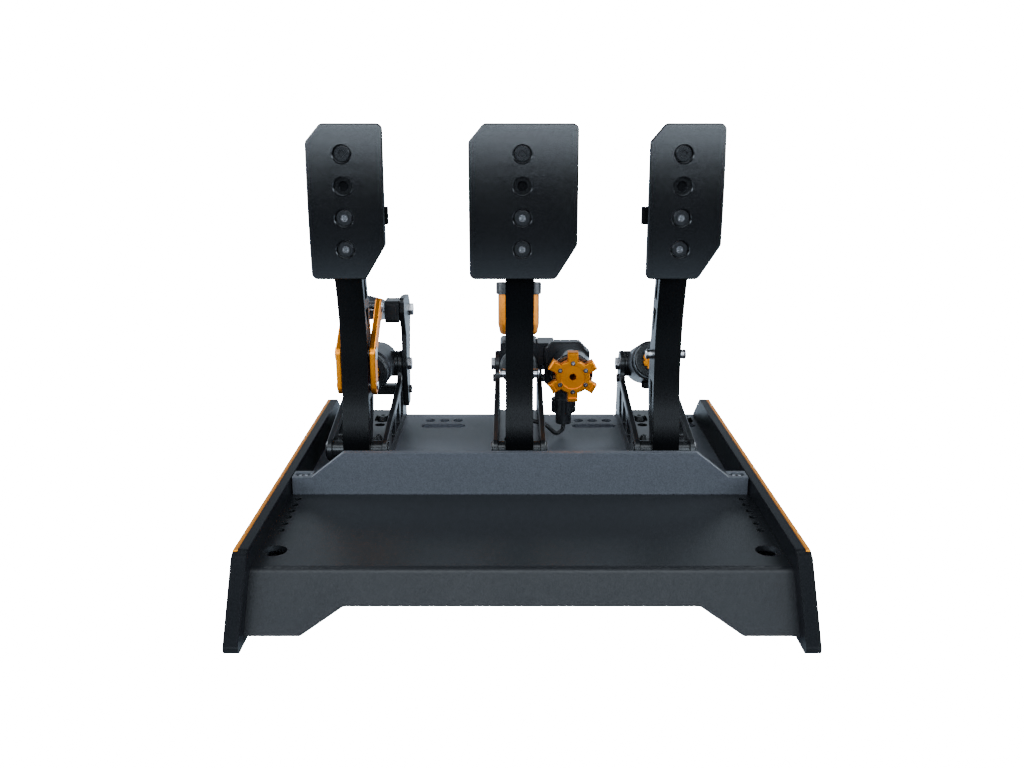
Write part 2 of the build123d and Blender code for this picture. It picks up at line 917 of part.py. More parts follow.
def make_arm(name, centre, pin, face_x, travel, bar_x, link_hole):
    """A pedal arm with side pockets, shaft and pin bores, a rod slot and, on two of them, a crossbar."""
    rest = atan2(trunnion[1] - pin[1], trunnion[0] - pin[0])
    aim = rest + radians(travel) / 2
    reach = 2 * ear_radius + pivot_boss
    half = arm_half_at(centre)
    with BuildPart() as arm:
        with BuildSketch(side_view(centre - half)):
            arm_outline()
        extrude(amount=2 * half)
        for side in (-1, 1):
            with BuildSketch(side_view(centre + side * half)) as pockets:
                for corners in pocket_corners(pin):
                    with BuildLine():
                        Polyline(*corners, close=True)
                    make_face()
                fillet(pockets.vertices(), pocket_corner)
            extrude(amount=-side * pocket_depth, mode=Mode.SUBTRACT)
        with BuildSketch(side_view(centre - eye_slot_half)):
            bar(pin, (pin[0] + reach * cos(aim), pin[1] + reach * sin(aim)), 2 * eye_slot_radius)
        extrude(amount=2 * eye_slot_half, mode=Mode.SUBTRACT)
        if bar_x is not None:
            with BuildSketch(front_view(face_back)):
                with Locations((bar_x, (crossbar_bottom + crossbar_top) / 2)):
                    Rectangle(2 * crossbar_half, crossbar_top - crossbar_bottom)
            extrude(amount=-crossbar_thickness)
        hole_across(centre - half, centre + half, (pivot,), pivot_radius + running_gap)
        hole_across(centre - half, centre + half, (pin,), pin_radius)
        if link_hole:
            hole_across(centre - half, centre + half, (link_elbow,), elbow_radius)
        with BuildSketch(front_view(face_back)):
            with Locations(*[(face_x, z) for z in face_screw_z]):
                Circle(face_screw_radius)
        extrude(amount=-face_screw_hole, mode=Mode.SUBTRACT)
    keep(arm, name)


def make_pin(name, centre, pin, reach):
    """Push-rod pin across the arm, standing out at both sides."""
    with BuildPart() as rod_pin:
        rod_across(centre - reach, centre + reach, pin, pin_radius)
        chamfer(rod_pin.edges().filter_by(GeomType.CIRCLE), pin_chamfer)
    keep(rod_pin, name)


def crown(z):
    """Y of a face plate's crowned front at a given height."""
    return face_front + face_crown - sqrt(face_crown ** 2 - (z - face_middle) ** 2)


def make_face_plate(name, hole_x, left, right):
    """Crowned face plate with stepped holes and cut corners at upper left and lower right."""
    with BuildPart() as face:
        with BuildSketch(side_view(left)):
            with BuildLine():
                front = ThreePointArc(
                    (crown(face_bottom), face_bottom),
                    (crown(face_middle), face_middle),
                    (crown(face_top), face_top),
                )
                Polyline(front @ 1, (face_back, face_top), (face_back, face_bottom), front @ 0)
            make_face()
        extrude(amount=right - left)
        with BuildSketch(front_view(face_back)) as outline:
            with BuildLine():
                Polyline(
                    (left, face_bottom),
                    (left, face_top - face_upper_cut[1]),
                    (left + face_upper_cut[0], face_top),
                    (right, face_top),
                    (right, face_bottom + face_lower_cut[1]),
                    (right - face_lower_cut[0], face_bottom),
                    close=True,
                )
            make_face()
            fillet(outline.vertices(), face_corner)
        extrude(amount=2 * face_thickness, mode=Mode.INTERSECT)
        chamfer(face.faces().sort_by(Axis.Y)[0].outer_wire().edges(), face_edge_chamfer)
        for z in face_hole_z:
            with Locations(Plane(origin=(hole_x, crown(z), z), x_dir=(1, 0, 0), z_dir=(0, -1, 0))):
                CounterSinkHole(face_bore_radius, face_bore_rim, face_bore_depth, counter_sink_angle=90)
                Hole(face_hole_radius)
    keep(face, name)


def make_face_screws(name, hole_x):
    """Socket screws sunk in a face plate's bores, which hold it on its arm."""
    with BuildPart() as screws:
        for z in face_screw_z:
            seat = Plane(origin=(hole_x, crown(z) + face_bore_depth, z), x_dir=(1, 0, 0), z_dir=(0, 1, 0))
            with BuildSketch(seat):
                Circle(face_screw_radius)
            extrude(amount=face_screw_length)
            with BuildSketch(seat):
                Circle(face_screw_head)
            extrude(amount=-face_screw_head_height)
            with BuildSketch(seat.offset(-face_screw_head_height)):
                RegularPolygon(face_screw_socket, 6)
            extrude(amount=face_screw_socket_depth, mode=Mode.SUBTRACT)
    keep(screws, name)


# Barrels, caps, adjusters and rods

def barrel_body(centre, pin, radius, boss_half):
    """Barrel with side bosses, flats and trunnion bores, in the open part."""
    along = axis_frame(centre, trunnion, pin)
    with BuildSketch(along.offset(-barrel_rear)) as section:
        Circle(radius)
    tube = extrude(section.sketch, amount=barrel_rear + barrel_front)
    chamfer(tube.edges().filter_by(GeomType.CIRCLE), barrel_rear_chamfer / 2)
    rod_across(centre - boss_half, centre + boss_half, trunnion, boss_radius)
    for side in (-1, 1):
        with BuildSketch(side_view(centre + side * boss_half)) as flat:
            with Locations(trunnion):
                Circle(boss_radius + flat_margin)
        extrude(flat.sketch, amount=side * boss_radius, mode=Mode.SUBTRACT)


def barrel_bores(centre, pin, boss_half):
    """Cylinder bore and trunnion bores, cut from the open part."""
    along = axis_frame(centre, trunnion, pin)
    with BuildSketch(along.offset(barrel_wall_rear - barrel_rear)) as bore:
        Circle(barrel_bore)
    extrude(bore.sketch, amount=barrel_rear + barrel_front, mode=Mode.SUBTRACT)
    loose = 0.0 if centre == brake_x else running_gap
    hole_across(centre - boss_half, centre + boss_half, (trunnion,), trunnion_radius + loose)


def make_barrel(name, centre, pin):
    """Grey barrel that tilts on its trunnion bolts."""
    boss_half = wide_half - washer_thickness - side_gap
    with BuildPart() as barrel:
        barrel_body(centre, pin, barrel_radius, boss_half)
        barrel_bores(centre, pin, boss_half)
    keep(barrel, name)


def make_cap(name, centre, pin, bore):
    """Black ring that closes a barrel's front, with a recess round the rod."""
    along = axis_frame(centre, trunnion, pin)
    with BuildPart() as cap:
        with BuildSketch(along.offset(barrel_front)):
            Circle(cap_radius)
        extrude(amount=cap_end - barrel_front)
        chamfer(cap.edges().filter_by(GeomType.CIRCLE), cap_chamfer)
        with BuildSketch(along.offset(cap_end - recess_depth)):
            Circle(recess_radius)
        extrude(amount=2 * recess_depth, mode=Mode.SUBTRACT)
        with BuildSketch(along.offset(barrel_front)):
            Circle(bore)
        extrude(amount=cap_end - barrel_front, mode=Mode.SUBTRACT)
    keep(cap, name)


def make_adjuster(name, centre, pin):
    """Notched ring that turns in a cap, with a spigot through it."""
    along = axis_frame(centre, trunnion, pin)
    floor = cap_end - recess_depth + adjuster_stand
    with BuildPart() as ring:
        with BuildSketch(along.offset(floor)):
            Circle(adjuster_radius)
            with PolarLocations(adjuster_radius, adjuster_notches):
                Circle(notch_radius, mode=Mode.SUBTRACT)
        extrude(amount=cap_end - floor - adjuster_stand)
        with BuildSketch(along.offset(barrel_front + adjuster_stand)):
            Circle(spigot_radius)
        extrude(amount=floor - barrel_front - adjuster_stand)
        with BuildSketch(along.offset(barrel_front)):
            Circle(rod_radius + running_gap)
        extrude(amount=cap_end - barrel_front, mode=Mode.SUBTRACT)
    keep(ring, name)


def make_rod(name, centre, origin, target, sizes):
    """Push rod with a piston inside its barrel and an eye on the pin."""
    radius, piston, rear, eye, hole, half = sizes
    length = distance(origin, target)
    along = axis_frame(centre, origin, target)
    with BuildPart() as rod:
        with BuildSketch(along.offset(rear)):
            Circle(piston)
        extrude(amount=piston_length)
        with BuildSketch(along.offset(rear)):
            Circle(radius)
        extrude(amount=length - rear - eye / 2)
        rod_across(centre - half, centre + half, target, eye)
        hole_across(centre - half, centre + half, (target,), hole)
    keep(rod, name)


# Clutch links and helper strut

def make_clutch_links():
    """Two bent links, one on each side of the clutch arm, carrying the helper strut's pin."""
    inner = arm_half + link_gap
    with BuildPart() as links:
        for side in (-1, 1):
            low_x = min(clutch_x + side * inner, clutch_x + side * (inner + link_thickness))
            with BuildSketch(side_view(low_x)):
                bar(clutch_pin, link_elbow, link_width)
                bar(link_elbow, link_head, link_width)
            extrude(amount=link_thickness)
        for face in links.faces().filter_by(Axis.X):
            chamfer(face.outer_wire().edges(), link_chamfer)
        for side in (-1, 1):
            low_x = min(clutch_x + side * inner, clutch_x + side * (inner + link_thickness))
            hole_across(low_x, low_x + link_thickness, (clutch_pin, link_head), pin_radius)
            hole_across(low_x, low_x + link_thickness, (link_elbow,), elbow_radius)
    keep(links, "clutch_links")


def make_link_pins():
    """The pin that carries the helper rod and the bolt at the links' elbow."""
    reach = arm_half + link_gap + link_thickness
    with BuildPart() as pins:
        pin_end = reach + link_pin_stand
        rod_across(clutch_x - pin_end, clutch_x + pin_end, link_head, link_pin_radius)
        rod_across(clutch_x - reach, clutch_x + reach, link_elbow, elbow_radius)
        for low, high in ((reach, reach + elbow_head_height), (arm_half, arm_half + link_gap)):
            rod_across(clutch_x + low, clutch_x + high, link_elbow, elbow_head)
            rod_across(clutch_x - high, clutch_x - low, link_elbow, elbow_head)
    keep(pins, "clutch_link_pins")


def make_helper_barrel():
    """Small cylinder of the helper strut, hung on two short bolts between its brackets."""
    along = axis_frame(clutch_x, helper_pivot, link_head)
    cross_half = wide_half + plate_thickness - side_gap
    with BuildPart() as barrel:
        with BuildSketch(along.offset(-helper_rear)):
            Circle(helper_radius)
        tube = extrude(amount=helper_rear + helper_length)
        chamfer(tube.edges().filter_by(GeomType.CIRCLE), link_chamfer)
        rod_across(clutch_x - cross_half, clutch_x + cross_half, helper_pivot, spacer_radius)
        with BuildSketch(along.offset(helper_wall - helper_rear)):
            Circle(helper_bore)
        extrude(amount=helper_length + helper_rear - 2 * helper_wall, mode=Mode.SUBTRACT)
        with BuildSketch(along.offset(helper_length - helper_wall)):
            Circle(helper_rod_radius + running_gap)
        extrude(amount=helper_wall, mode=Mode.SUBTRACT)
        inner = wide_half + plate_thickness - helper_bolt_depth - side_gap
        hole_across(clutch_x - cross_half, clutch_x - inner, (helper_pivot,), trunnion_radius + running_gap)
        hole_across(clutch_x + inner, clutch_x + cross_half, (helper_pivot,), trunnion_radius + running_gap)
    keep(barrel, "helper_barrel")


def make_cross_block():
    """Block between the clutch's side plates, where the brackets' foot bolts end."""
    with BuildPart() as block:
        with BuildSketch(side_view(clutch_x - wide_half)):
            with Locations(helper_foot):
                Rectangle(cross_block_depth, cross_block_height)
        extrude(amount=2 * wide_half)
        chamfer(block.edges().filter_by(Axis.X), plate_chamfer)
    keep(block, "clutch_cross_block")


def make_helper_bracket(name, side):
    """Upright plate outside a clutch side plate, with a guide block at its top."""
    inner_x = clutch_x + side * (wide_half + plate_thickness)
    low_x = min(inner_x, inner_x + side * plate_thickness)
    with BuildPart() as bracket:
        with BuildSketch(side_view(low_x)) as outline:
            with BuildLine():
                Polyline(*bracket_outline, close=True)
            make_face()
            fillet(outline.vertices(), bracket_corner)
        extrude(amount=plate_thickness)
        for face in bracket.faces().filter_by(Axis.X):
            chamfer(face.outer_wire().edges(), plate_chamfer)
        with BuildSketch(side_view(inner_x)) as guide:
            with BuildLine():
                Polyline(
                    (guide_front, guide_bottom + guide_chamfer),
                    (guide_front + guide_chamfer, guide_bottom),
                    (guide_rear, guide_bottom),
                    (guide_rear, guide_top),
                    (guide_front + guide_chamfer, guide_top),
                    (guide_front, guide_top - guide_chamfer),
                    close=True,
                )
            make_face()
        extrude(amount=-side * (wide_half + plate_thickness - guide_reach))
        hole_across(low_x, low_x + plate_thickness, (trunnion, helper_pivot), trunnion_radius)
        hole_across(low_x, low_x + plate_thickness, (helper_foot,), elbow_radius)
    keep(bracket, name)


# Brake cylinder, reservoir and elastomer unit

def make_master_cylinder():
    """Brake cylinder with the block that carries the reservoir."""
    with BuildPart() as cylinder:
        barrel_body(brake_x, brake_pin, cap_radius, brake_half)
        with BuildSketch(front_view(block_front)) as section:
            with Locations((brake_x, (block_bottom + block_top) / 2)):
                Rectangle(2 * block_half, block_top - block_bottom)
            chamfer(section.vertices(), block_chamfer)
        extrude(amount=block_front - block_rear)
        barrel_bores(brake_x, brake_pin, brake_half)
    keep(cylinder, "master_cylinder")


def make_reservoir():
    """Turned fluid pot with a tapered foot, standing on a short neck."""
    with BuildPart() as pot:
        with BuildSketch(Plane.YZ.offset(brake_x)):
            with BuildLine():
                Polyline(
                    (reservoir_y, block_top),
                    (reservoir_y + neck_radius, block_top),
                    (reservoir_y + neck_radius, reservoir_bottom),
                    (reservoir_y + reservoir_foot - 2, reservoir_bottom),
                    (reservoir_y + reservoir_foot, reservoir_bottom + 2),
                    (reservoir_y + reservoir_radius, reservoir_shoulder),
                    (reservoir_y + reservoir_radius, reservoir_top),
                    (reservoir_y + reservoir_bore, reservoir_top),
                    (reservoir_y + reservoir_bore, reservoir_floor),
                    (reservoir_y, reservoir_floor),
                    close=True,
                )
            make_face()
        revolve(axis=Axis((brake_x, reservoir_y, 0), (0, 0, 1)))
    keep(pot, "reservoir")


def make_reservoir_cap():
    """Fluted lid with a plug that enters the pot."""
    with BuildPart() as lid:
        with BuildSketch(level(reservoir_top)):
            with Locations((brake_x, reservoir_y)):
                Circle(lid_radius)
        extrude(amount=lid_top - reservoir_top)
        chamfer(lid.edges().filter_by(GeomType.CIRCLE), 1.2)
        with BuildSketch(level(reservoir_top)):
            with Locations((brake_x, reservoir_y)):
                with PolarLocations(lid_radius + flute_radius / 2, lid_flutes):
                    Circle(flute_radius)
        extrude(amount=lid_top - reservoir_top, mode=Mode.SUBTRACT)
        with BuildSketch(level(reservoir_top)):
            with Locations((brake_x, reservoir_y)):
                Circle(reservoir_bore)
        extrude(amount=-lid_plug)
    keep(lid, "reservoir_cap")


def make_unit_housing():
    """Eight-sided plate beside the cylinder, with a rear cylinder and a beam to the block."""
    with BuildPart() as housing:
        with BuildSketch(front_view(unit_front)):
            with BuildLine():
                Polyline(
                    (unit_left, unit_bottom + unit_cut_bottom),
                    (unit_left, unit_top - unit_cut_top_left),
                    (unit_left + unit_cut_top_left, unit_top),
                    (unit_right - unit_cut_top_right, unit_top),
                    (unit_right, unit_top - unit_cut_top_right),
                    (unit_right, unit_bottom + unit_cut_bottom),
                    (unit_right - unit_cut_bottom, unit_bottom),
                    (unit_left + unit_cut_bottom, unit_bottom),
                    close=True,
                )
            make_face()
        extrude(amount=unit_front - unit_rear)
        chamfer(housing.faces().sort_by(Axis.Y)[0].edges(), unit_chamfer)
        with BuildSketch(front_view(unit_rear)):
            with Locations((unit_x, unit_z)):
                Circle(unit_body_radius)
        extrude(amount=unit_rear - unit_body_rear)
        with BuildSketch(front_view(block_front)):
            with Locations(((block_half + beam_right) / 2, (beam_bottom + block_top) / 2)):
                Rectangle(beam_right - block_half, block_top - beam_bottom)
        extrude(amount=block_front - beam_rear)
    keep(housing, "unit_housing")


def make_sleeve():
    """Smooth sleeve round the elastomer stack, bored for the knob's shaft."""
    with BuildPart() as sleeve:
        with BuildSketch(front_view(unit_front)):
            with Locations((unit_x, unit_z)):
                Circle(sleeve_radius)
        extrude(amount=unit_front - sleeve_front)
        chamfer(sleeve.faces().sort_by(Axis.Y)[0].edges(), sleeve_chamfer)
        with BuildSketch(front_view(unit_front)):
            with Locations((unit_x, unit_z)):
                Circle(sleeve_bore)
        extrude(amount=unit_front - sleeve_front - sleeve_wall, mode=Mode.SUBTRACT)
        with BuildSketch(front_view(unit_front)):
            with Locations((unit_x, unit_z)):
                Circle(knob_shaft + running_gap)
        extrude(amount=unit_front - sleeve_front, mode=Mode.SUBTRACT)
    keep(sleeve, "elastomer_sleeve")


def make_knob():
    """Six-pronged preload knob with lips on its prongs, a dished face and a shaft into the sleeve."""
    with BuildPart() as knob:
        with BuildSketch(front_view(knob_rear)) as star:
            with Locations((unit_x, unit_z)):
                Circle(knob_hub)
                with PolarLocations(knob_tip / 2, knob_prongs, start_angle=180 / knob_prongs):
                    Rectangle(knob_tip, knob_prong)
        extrude(amount=knob_rear - knob_front)
        chamfer(knob.faces().sort_by(Axis.Y)[0].edges(), knob_chamfer)
        with BuildSketch(front_view(knob_front + knob_chamfer)):
            with Locations((unit_x, unit_z)):
                with PolarLocations(knob_tip - knob_chamfer - knob_lip / 2, knob_prongs, start_angle=180 / knob_prongs):
                    Rectangle(knob_lip, knob_prong - 2 * knob_chamfer)
        extrude(amount=knob_chamfer + knob_lip_height)
        with BuildSketch(front_view(knob_front)):
            with Locations((unit_x, unit_z)):
                Circle(knob_dish)
        extrude(amount=-knob_dish_depth, mode=Mode.SUBTRACT)
        with BuildSketch(front_view(knob_rear)):
            with Locations((unit_x, unit_z)):
                Circle(knob_shaft)
        extrude(amount=knob_rear - knob_shaft_end)
        with BuildSketch(front_view(knob_front)):
            with Locations((unit_x, unit_z)):
                Circle(knob_hole)
        extrude(amount=knob_front - knob_shaft_end, mode=Mode.SUBTRACT)
    keep(knob, "preload_knob")


def make_sensor():
    """Pressure sensor hanging under the unit: round body, hex nut and neck."""
    with BuildPart() as sensor:
        for low, high, radius in (
            (nut_top, unit_bottom, sensor_body),
            (neck_bottom, nut_bottom, sensor_neck),
        ):
            with BuildSketch(level(low)):
                with Locations((sensor_x, sensor_y)):
                    Circle(radius)
            extrude(amount=high - low)
        with BuildSketch(level(nut_bottom)):
            with Locations((sensor_x, sensor_y)):
                RegularPolygon(nut_radius, 6)
        extrude(amount=nut_top - nut_bottom)
    keep(sensor, "pressure_sensor")


def make_cable():
    """One unbroken cable from the sensor through a side plate's window to the gland."""
    with BuildPart() as cable:
        with BuildLine() as route:
            FilletPolyline(*cable_points, radius=list(cable_radii))
        with BuildSketch(Plane(origin=cable_points[0], z_dir=route.wire() % 0)):
            Circle(cable_radius)
        sweep(path=route.wire())
    length = route.wire().length
    whole = length * pi * cable_radius ** 2
    print(f"cable length {length:.1f} mm, volume {cable.part.volume:.1f} of {whole:.1f} mm3, radii {cable_radii}")
    keep(cable, "sensor_cable")


make_rail("side_rail_left", -1)
make_rail("side_rail_right", 1)
make_trims()
make_rail_screws()
make_rear_deck()
make_heel_plate()
make_heel_stop()
make_heel_stop_screws()

for pedal, (middle_x, inner_half), slot_place in zip(
    ("clutch", "brake", "throttle"), pedal_frames(), base_bolt_places()
):
    side_holes = (helper_foot,) if pedal == "clutch" else (ear_bolt,)
    make_base_plate(f"{pedal}_base_plate", middle_x, inner_half, slot_place[0])
    make_side_plate(f"{pedal}_side_plate_left", middle_x - inner_half - plate_thickness, side_holes)
    make_side_plate(f"{pedal}_side_plate_right", middle_x + inner_half, side_holes)

make_module_bolts()
make_pivot_bolts()
make_pivot_spacers()
make_trunnion_washers()
make_trunnion_bolts()

make_arm("clutch_arm", clutch_x, clutch_pin, clutch_face_x, clutch_travel, clutch_bar_x, True)
make_arm("brake_arm", brake_x, brake_pin, brake_face_x, brake_travel, None, False)
make_arm("throttle_arm", throttle_x, throttle_pin, throttle_face_x, throttle_travel, throttle_face_x, False)
make_pin("clutch_rod_pin", clutch_x, clutch_pin, arm_half + link_gap + link_thickness + pin_stand)
make_pin("brake_rod_pin", brake_x, brake_pin, pin_reach)
make_pin("throttle_rod_pin", throttle_x, throttle_pin, pin_reach)
make_face_plate("clutch_face", clutch_face_x, *clutch_face_ends)
make_face_plate("brake_face", brake_face_x, *brake_face_ends)
make_face_plate("throttle_face", throttle_face_x, *throttle_face_ends)
make_face_screws("clutch_face_screws", clutch_face_x)
make_face_screws("brake_face_screws", brake_face_x)
make_face_screws("throttle_face_screws", throttle_face_x)

make_barrel("clutch_barrel", clutch_x, clutch_pin)
make_barrel("throttle_barrel", throttle_x, throttle_pin)
make_cap("clutch_barrel_cap", clutch_x, clutch_pin, spigot_radius + running_gap)
make_cap("throttle_barrel_cap", throttle_x, throttle_pin, spigot_radius + running_gap)
make_cap("master_cylinder_cap", brake_x, brake_pin, rod_radius + running_gap)
make_adjuster("clutch_adjuster", clutch_x, clutch_pin)
make_adjuster("throttle_adjuster", throttle_x, throttle_pin)
rod_sizes = (rod_radius, piston_radius, piston_rear, eye_radius, pin_radius + eye_clearance, eye_half)
make_rod("clutch_rod", clutch_x, trunnion, clutch_pin, rod_sizes)
make_rod("brake_rod", brake_x, trunnion, brake_pin, rod_sizes)
make_rod("throttle_rod", throttle_x, trunnion, throttle_pin, rod_sizes)

make_clutch_links()
make_link_pins()
make_helper_barrel()
make_cross_block()
make_helper_bracket("helper_bracket_left", -1)
make_helper_bracket("helper_bracket_right", 1)
helper_sizes = (
    helper_rod_radius,
    helper_piston_radius,
    helper_piston_rear,
    helper_eye_radius,
    link_pin_radius + helper_eye_clearance,
    eye_half,
)
make_rod("helper_rod", clutch_x, helper_pivot, link_head, helper_sizes)

make_master_cylinder()
make_reservoir()
make_reservoir_cap()
make_unit_housing()
make_sleeve()
make_knob()
make_sensor()
make_cable()
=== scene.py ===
"""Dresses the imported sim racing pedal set: finishes, softened edges, small hardware, studio and camera."""

import json
import math

import bmesh
import bpy
from bpy.props import FloatProperty, FloatVectorProperty, IntProperty, PointerProperty
from mathutils import Matrix, Vector


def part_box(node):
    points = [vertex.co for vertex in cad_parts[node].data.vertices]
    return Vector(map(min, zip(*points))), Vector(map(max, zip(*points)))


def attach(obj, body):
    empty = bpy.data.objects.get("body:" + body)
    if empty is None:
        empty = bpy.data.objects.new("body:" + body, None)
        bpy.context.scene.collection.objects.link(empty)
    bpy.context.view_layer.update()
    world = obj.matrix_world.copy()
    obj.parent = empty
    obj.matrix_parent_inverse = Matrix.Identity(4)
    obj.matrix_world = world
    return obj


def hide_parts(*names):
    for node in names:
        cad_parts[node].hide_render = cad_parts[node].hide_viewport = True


bl_info = {
    "name": "Pedal set dressing",
    "version": (1, 0, 0),
    "blender": (4, 5, 0),
    "location": "View3D > Sidebar > Pedal set",
    "description": "Finishes, softened edges and small hardware for a set of three sim racing pedals",
    "category": "Object",
}

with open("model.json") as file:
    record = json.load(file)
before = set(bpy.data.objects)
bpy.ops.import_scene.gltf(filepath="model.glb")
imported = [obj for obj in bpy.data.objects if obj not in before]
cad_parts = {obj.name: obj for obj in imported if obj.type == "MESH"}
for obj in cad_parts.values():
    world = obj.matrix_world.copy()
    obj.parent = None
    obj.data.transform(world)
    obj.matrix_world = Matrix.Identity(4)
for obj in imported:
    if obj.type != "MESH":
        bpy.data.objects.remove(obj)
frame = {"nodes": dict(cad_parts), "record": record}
nodes = frame["nodes"]
body_of_node = {
    name: body for body, members in frame["record"]["behaviour"]["bodies"].items() for name in members
}
slot_of_node = {part["node"]: part["material_slot"] for part in frame["record"]["subparts"]}
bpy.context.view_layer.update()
finishes = {}

PEDALS = ("clutch", "brake", "throttle")

# Turns that point a piece's own top
FACING_DRIVER = (math.pi / 2, 0.0, 0.0)
FACING_RIGHT = (0.0, math.pi / 2, 0.0)
FACING_DOWN = (math.pi, 0.0, 0.0)
UPRIGHT = (0.0, 0.0, 0.0)

# Where the small pieces sit on the CAD parts, in metres
FACE_SCREW_HEIGHTS = (0.3014, 0.2514, 0.2264)
FACE_CROWN_HEIGHT = 0.2634
FACE_CROWN_RADIUS = 0.52
KNOB_SCREW_RING = 0.0134
KNOB_FIRST_SCREW = math.radians(30)
THROTTLE_PLUG = (0.125, 0.151, 0.0748)
PIN_CLIP_INSET = 0.0016
LINK_PIN_END = (-0.1239, 0.097, 0.163)
CLIP_OPENING = math.radians(40)
SENSOR_NUT_HEIGHT = 0.0592
POT_FOOT = Vector((0.0, 0.150, 0.1195))
POT_SINK = Vector((0.0, 0.0, 0.0015))

# Edges and faces
SMOOTH_ANGLE = math.radians(35)
FLAT_ANGLE = math.radians(0.05)
SAME_POINT = 0.00001

# Finishes that share the coat's colour: share of that colour, grains in a metre (None for the user's own),
# depth of the grain, roughness, specular level. The shares make lit and shaded copies of the one coat: the
# deck's and the stop bar's shares above one are painted light, lifting these parts where they face the
# lamps;
# the shares below one make darker copies of the same coat.
LIT_AND_SHADED_COATS = {
    "rail_black": (0.4, None, 0.3, 0.36, 0.08),
    "deck_black": (5.4, None, 0.4, 0.42, 0.5),
    "heel_black": (0.5, None, 0.4, 0.36, 0.5),
    "stop_black": (3.4, None, 0.35, 0.45, 0.5),
    "frame_black": (0.4, 2200.0, 0.18, 0.3, 0.5),
    "arm_black": (0.12, 2000.0, 0.2, 0.28, 0.1),
    "face_black": (0.2, 1900.0, 0.3, 0.17, 0.5),
}

# Finishes of the smaller black parts: colour, grains in a metre, depth of the grain, roughness
SMALL_BLACKS = {
    "black_bolt": ((0.006, 0.0065, 0.0075), 2600.0, 0.12, 0.28),
    "cap_black": ((0.006, 0.0065, 0.0075), 2600.0, 0.1, 0.28),
    "cylinder_black": ((0.006, 0.0065, 0.008), 2200.0, 0.15, 0.3),
    "cable_black": ((0.006, 0.006, 0.0065), 2500.0, 0.25, 0.55),
    "sensor_steel": ((0.012, 0.0125, 0.014), 2400.0, 0.1, 0.3),
}

# Nodes with the plate's small chamfer, and nodes with the finer edge of turned pieces
PLATES = ("side_rail_left", "side_rail_right", "rear_deck", "heel_plate", "rail_trims")
SMALL_PARTS = (
    "helper_bracket_left", "helper_bracket_right", "clutch_links", "unit_housing", "master_cylinder",
    "heel_stop", "preload_knob", "pressure_sensor", "trunnion_bolts", "pivot_bolts",
    "trunnion_washers", "elastomer_sleeve", "clutch_barrel", "throttle_barrel", "helper_barrel",
    "clutch_adjuster", "throttle_adjuster", "module_bolts", "rail_screws", "heel_stop_screws",
    "clutch_barrel_cap", "throttle_barrel_cap", "master_cylinder_cap", "helper_rod",
    "clutch_link_pins", "clutch_cross_block",
)

# Studio: tints, strengths of what the camera sees as white, and half the floor's side in metres
ROOM_TINT = (0.76, 0.88, 1.0, 1)
LAMP_TINT = (0.84, 0.92, 1.0)
# The floor's dark colour is painted shade far in front of the set; its pale colour is the floor round the
# set
FLOOR_PAINTED_SHADE = (0.01, 0.01, 0.01, 1)
FLOOR_PALE = (0.72, 0.8, 0.88, 1)
WHITE_BACKDROP = 30.0
WHITE_FLOOR = 26.0
FLOOR_HALF = 30.0
CAMERA_PLACE = (-0.0064, -0.790, 0.336)
CAMERA_TILT = math.radians(90 - 15.5)


def settings(context):
    """The pedal set's own settings in the scene."""
    return context.scene.pedal_set


class PedalSetSettings(bpy.types.PropertyGroup):
    """Sizes and colours that a user may change."""

    plate_edge: FloatProperty(
        name="Plate edge", description="Width of the small chamfer on plates and rails",
        default=0.0007, min=0.0, max=0.003, unit="LENGTH", precision=5,
    )
    arm_edge: FloatProperty(
        name="Arm edge", description="Width of the rounded edge on pedal arms",
        default=0.0012, min=0.0, max=0.003, unit="LENGTH", precision=5,
    )
    small_edge: FloatProperty(
        name="Small edge", description="Width of the rounded edge on small turned pieces",
        default=0.0004, min=0.0, max=0.002, unit="LENGTH", precision=5,
    )
    pot_lean: FloatProperty(
        name="Pot lean", description="How far the brake's fluid pot leans back with its cylinder",
        default=math.radians(10.3), min=0.0, max=0.35, unit="ROTATION",
    )
    grain_size: FloatProperty(
        name="Coat grain", description="How many grains of the fine coat fit in a metre",
        default=1000.0, min=100.0, max=6000.0,
    )
    coat: FloatVectorProperty(
        name="Coat colour", description="Colour of the black coat on plates and rails",
        subtype="COLOR", default=(0.0135, 0.0145, 0.017), min=0.0, max=1.0,
    )
    gold: FloatVectorProperty(
        name="Gold colour", description="Colour of the anodised gold pieces",
        subtype="COLOR", default=(0.95, 0.29, 0.003), min=0.0, max=1.0,
    )
    steel: FloatVectorProperty(
        name="Steel colour", description="Colour of bare steel rods and pins",
        subtype="COLOR", default=(0.55, 0.55, 0.57), min=0.0, max=1.0,
    )
    knob_screws: IntProperty(
        name="Knob screws", description="How many small screws ring the preload knob",
        default=6, min=3, max=12,
    )
    face_screw_head: FloatProperty(
        name="Face screw head", description="Radius of the button heads sunk in the face plates",
        default=0.0064, min=0.003, max=0.007, unit="LENGTH", precision=5,
    )
    ring_wire: FloatProperty(
        name="Clip wire", description="Radius of the wire that the round retaining clips are bent from",
        default=0.00045, min=0.0001, max=0.002, unit="LENGTH", precision=5,
    )
    nut_ribs: IntProperty(
        name="Sensor ribs", description="How many grip ribs stand round the sensor's nut",
        default=18, min=6, max=60,
    )
    room_light: FloatProperty(
        name="Room light", description="Strength of the even light that the room gives",
        default=1.0, min=0.0, max=5.0,
    )
    front_light: FloatProperty(
        name="Front light", description="Strength of the light from above and behind the camera",
        default=9.0, min=0.0, max=20.0,
    )
    key_light: FloatProperty(
        name="Side light", description="Strength of the two strip lights at the sides",
        default=16.0, min=0.0, max=500.0, unit="POWER",
    )
    box_light: FloatProperty(
        name="Front box", description="Strength of the soft box above and in front of the pedals",
        default=12.0, min=0.0, max=500.0, unit="POWER",
    )


# Shader groups that several finishes share

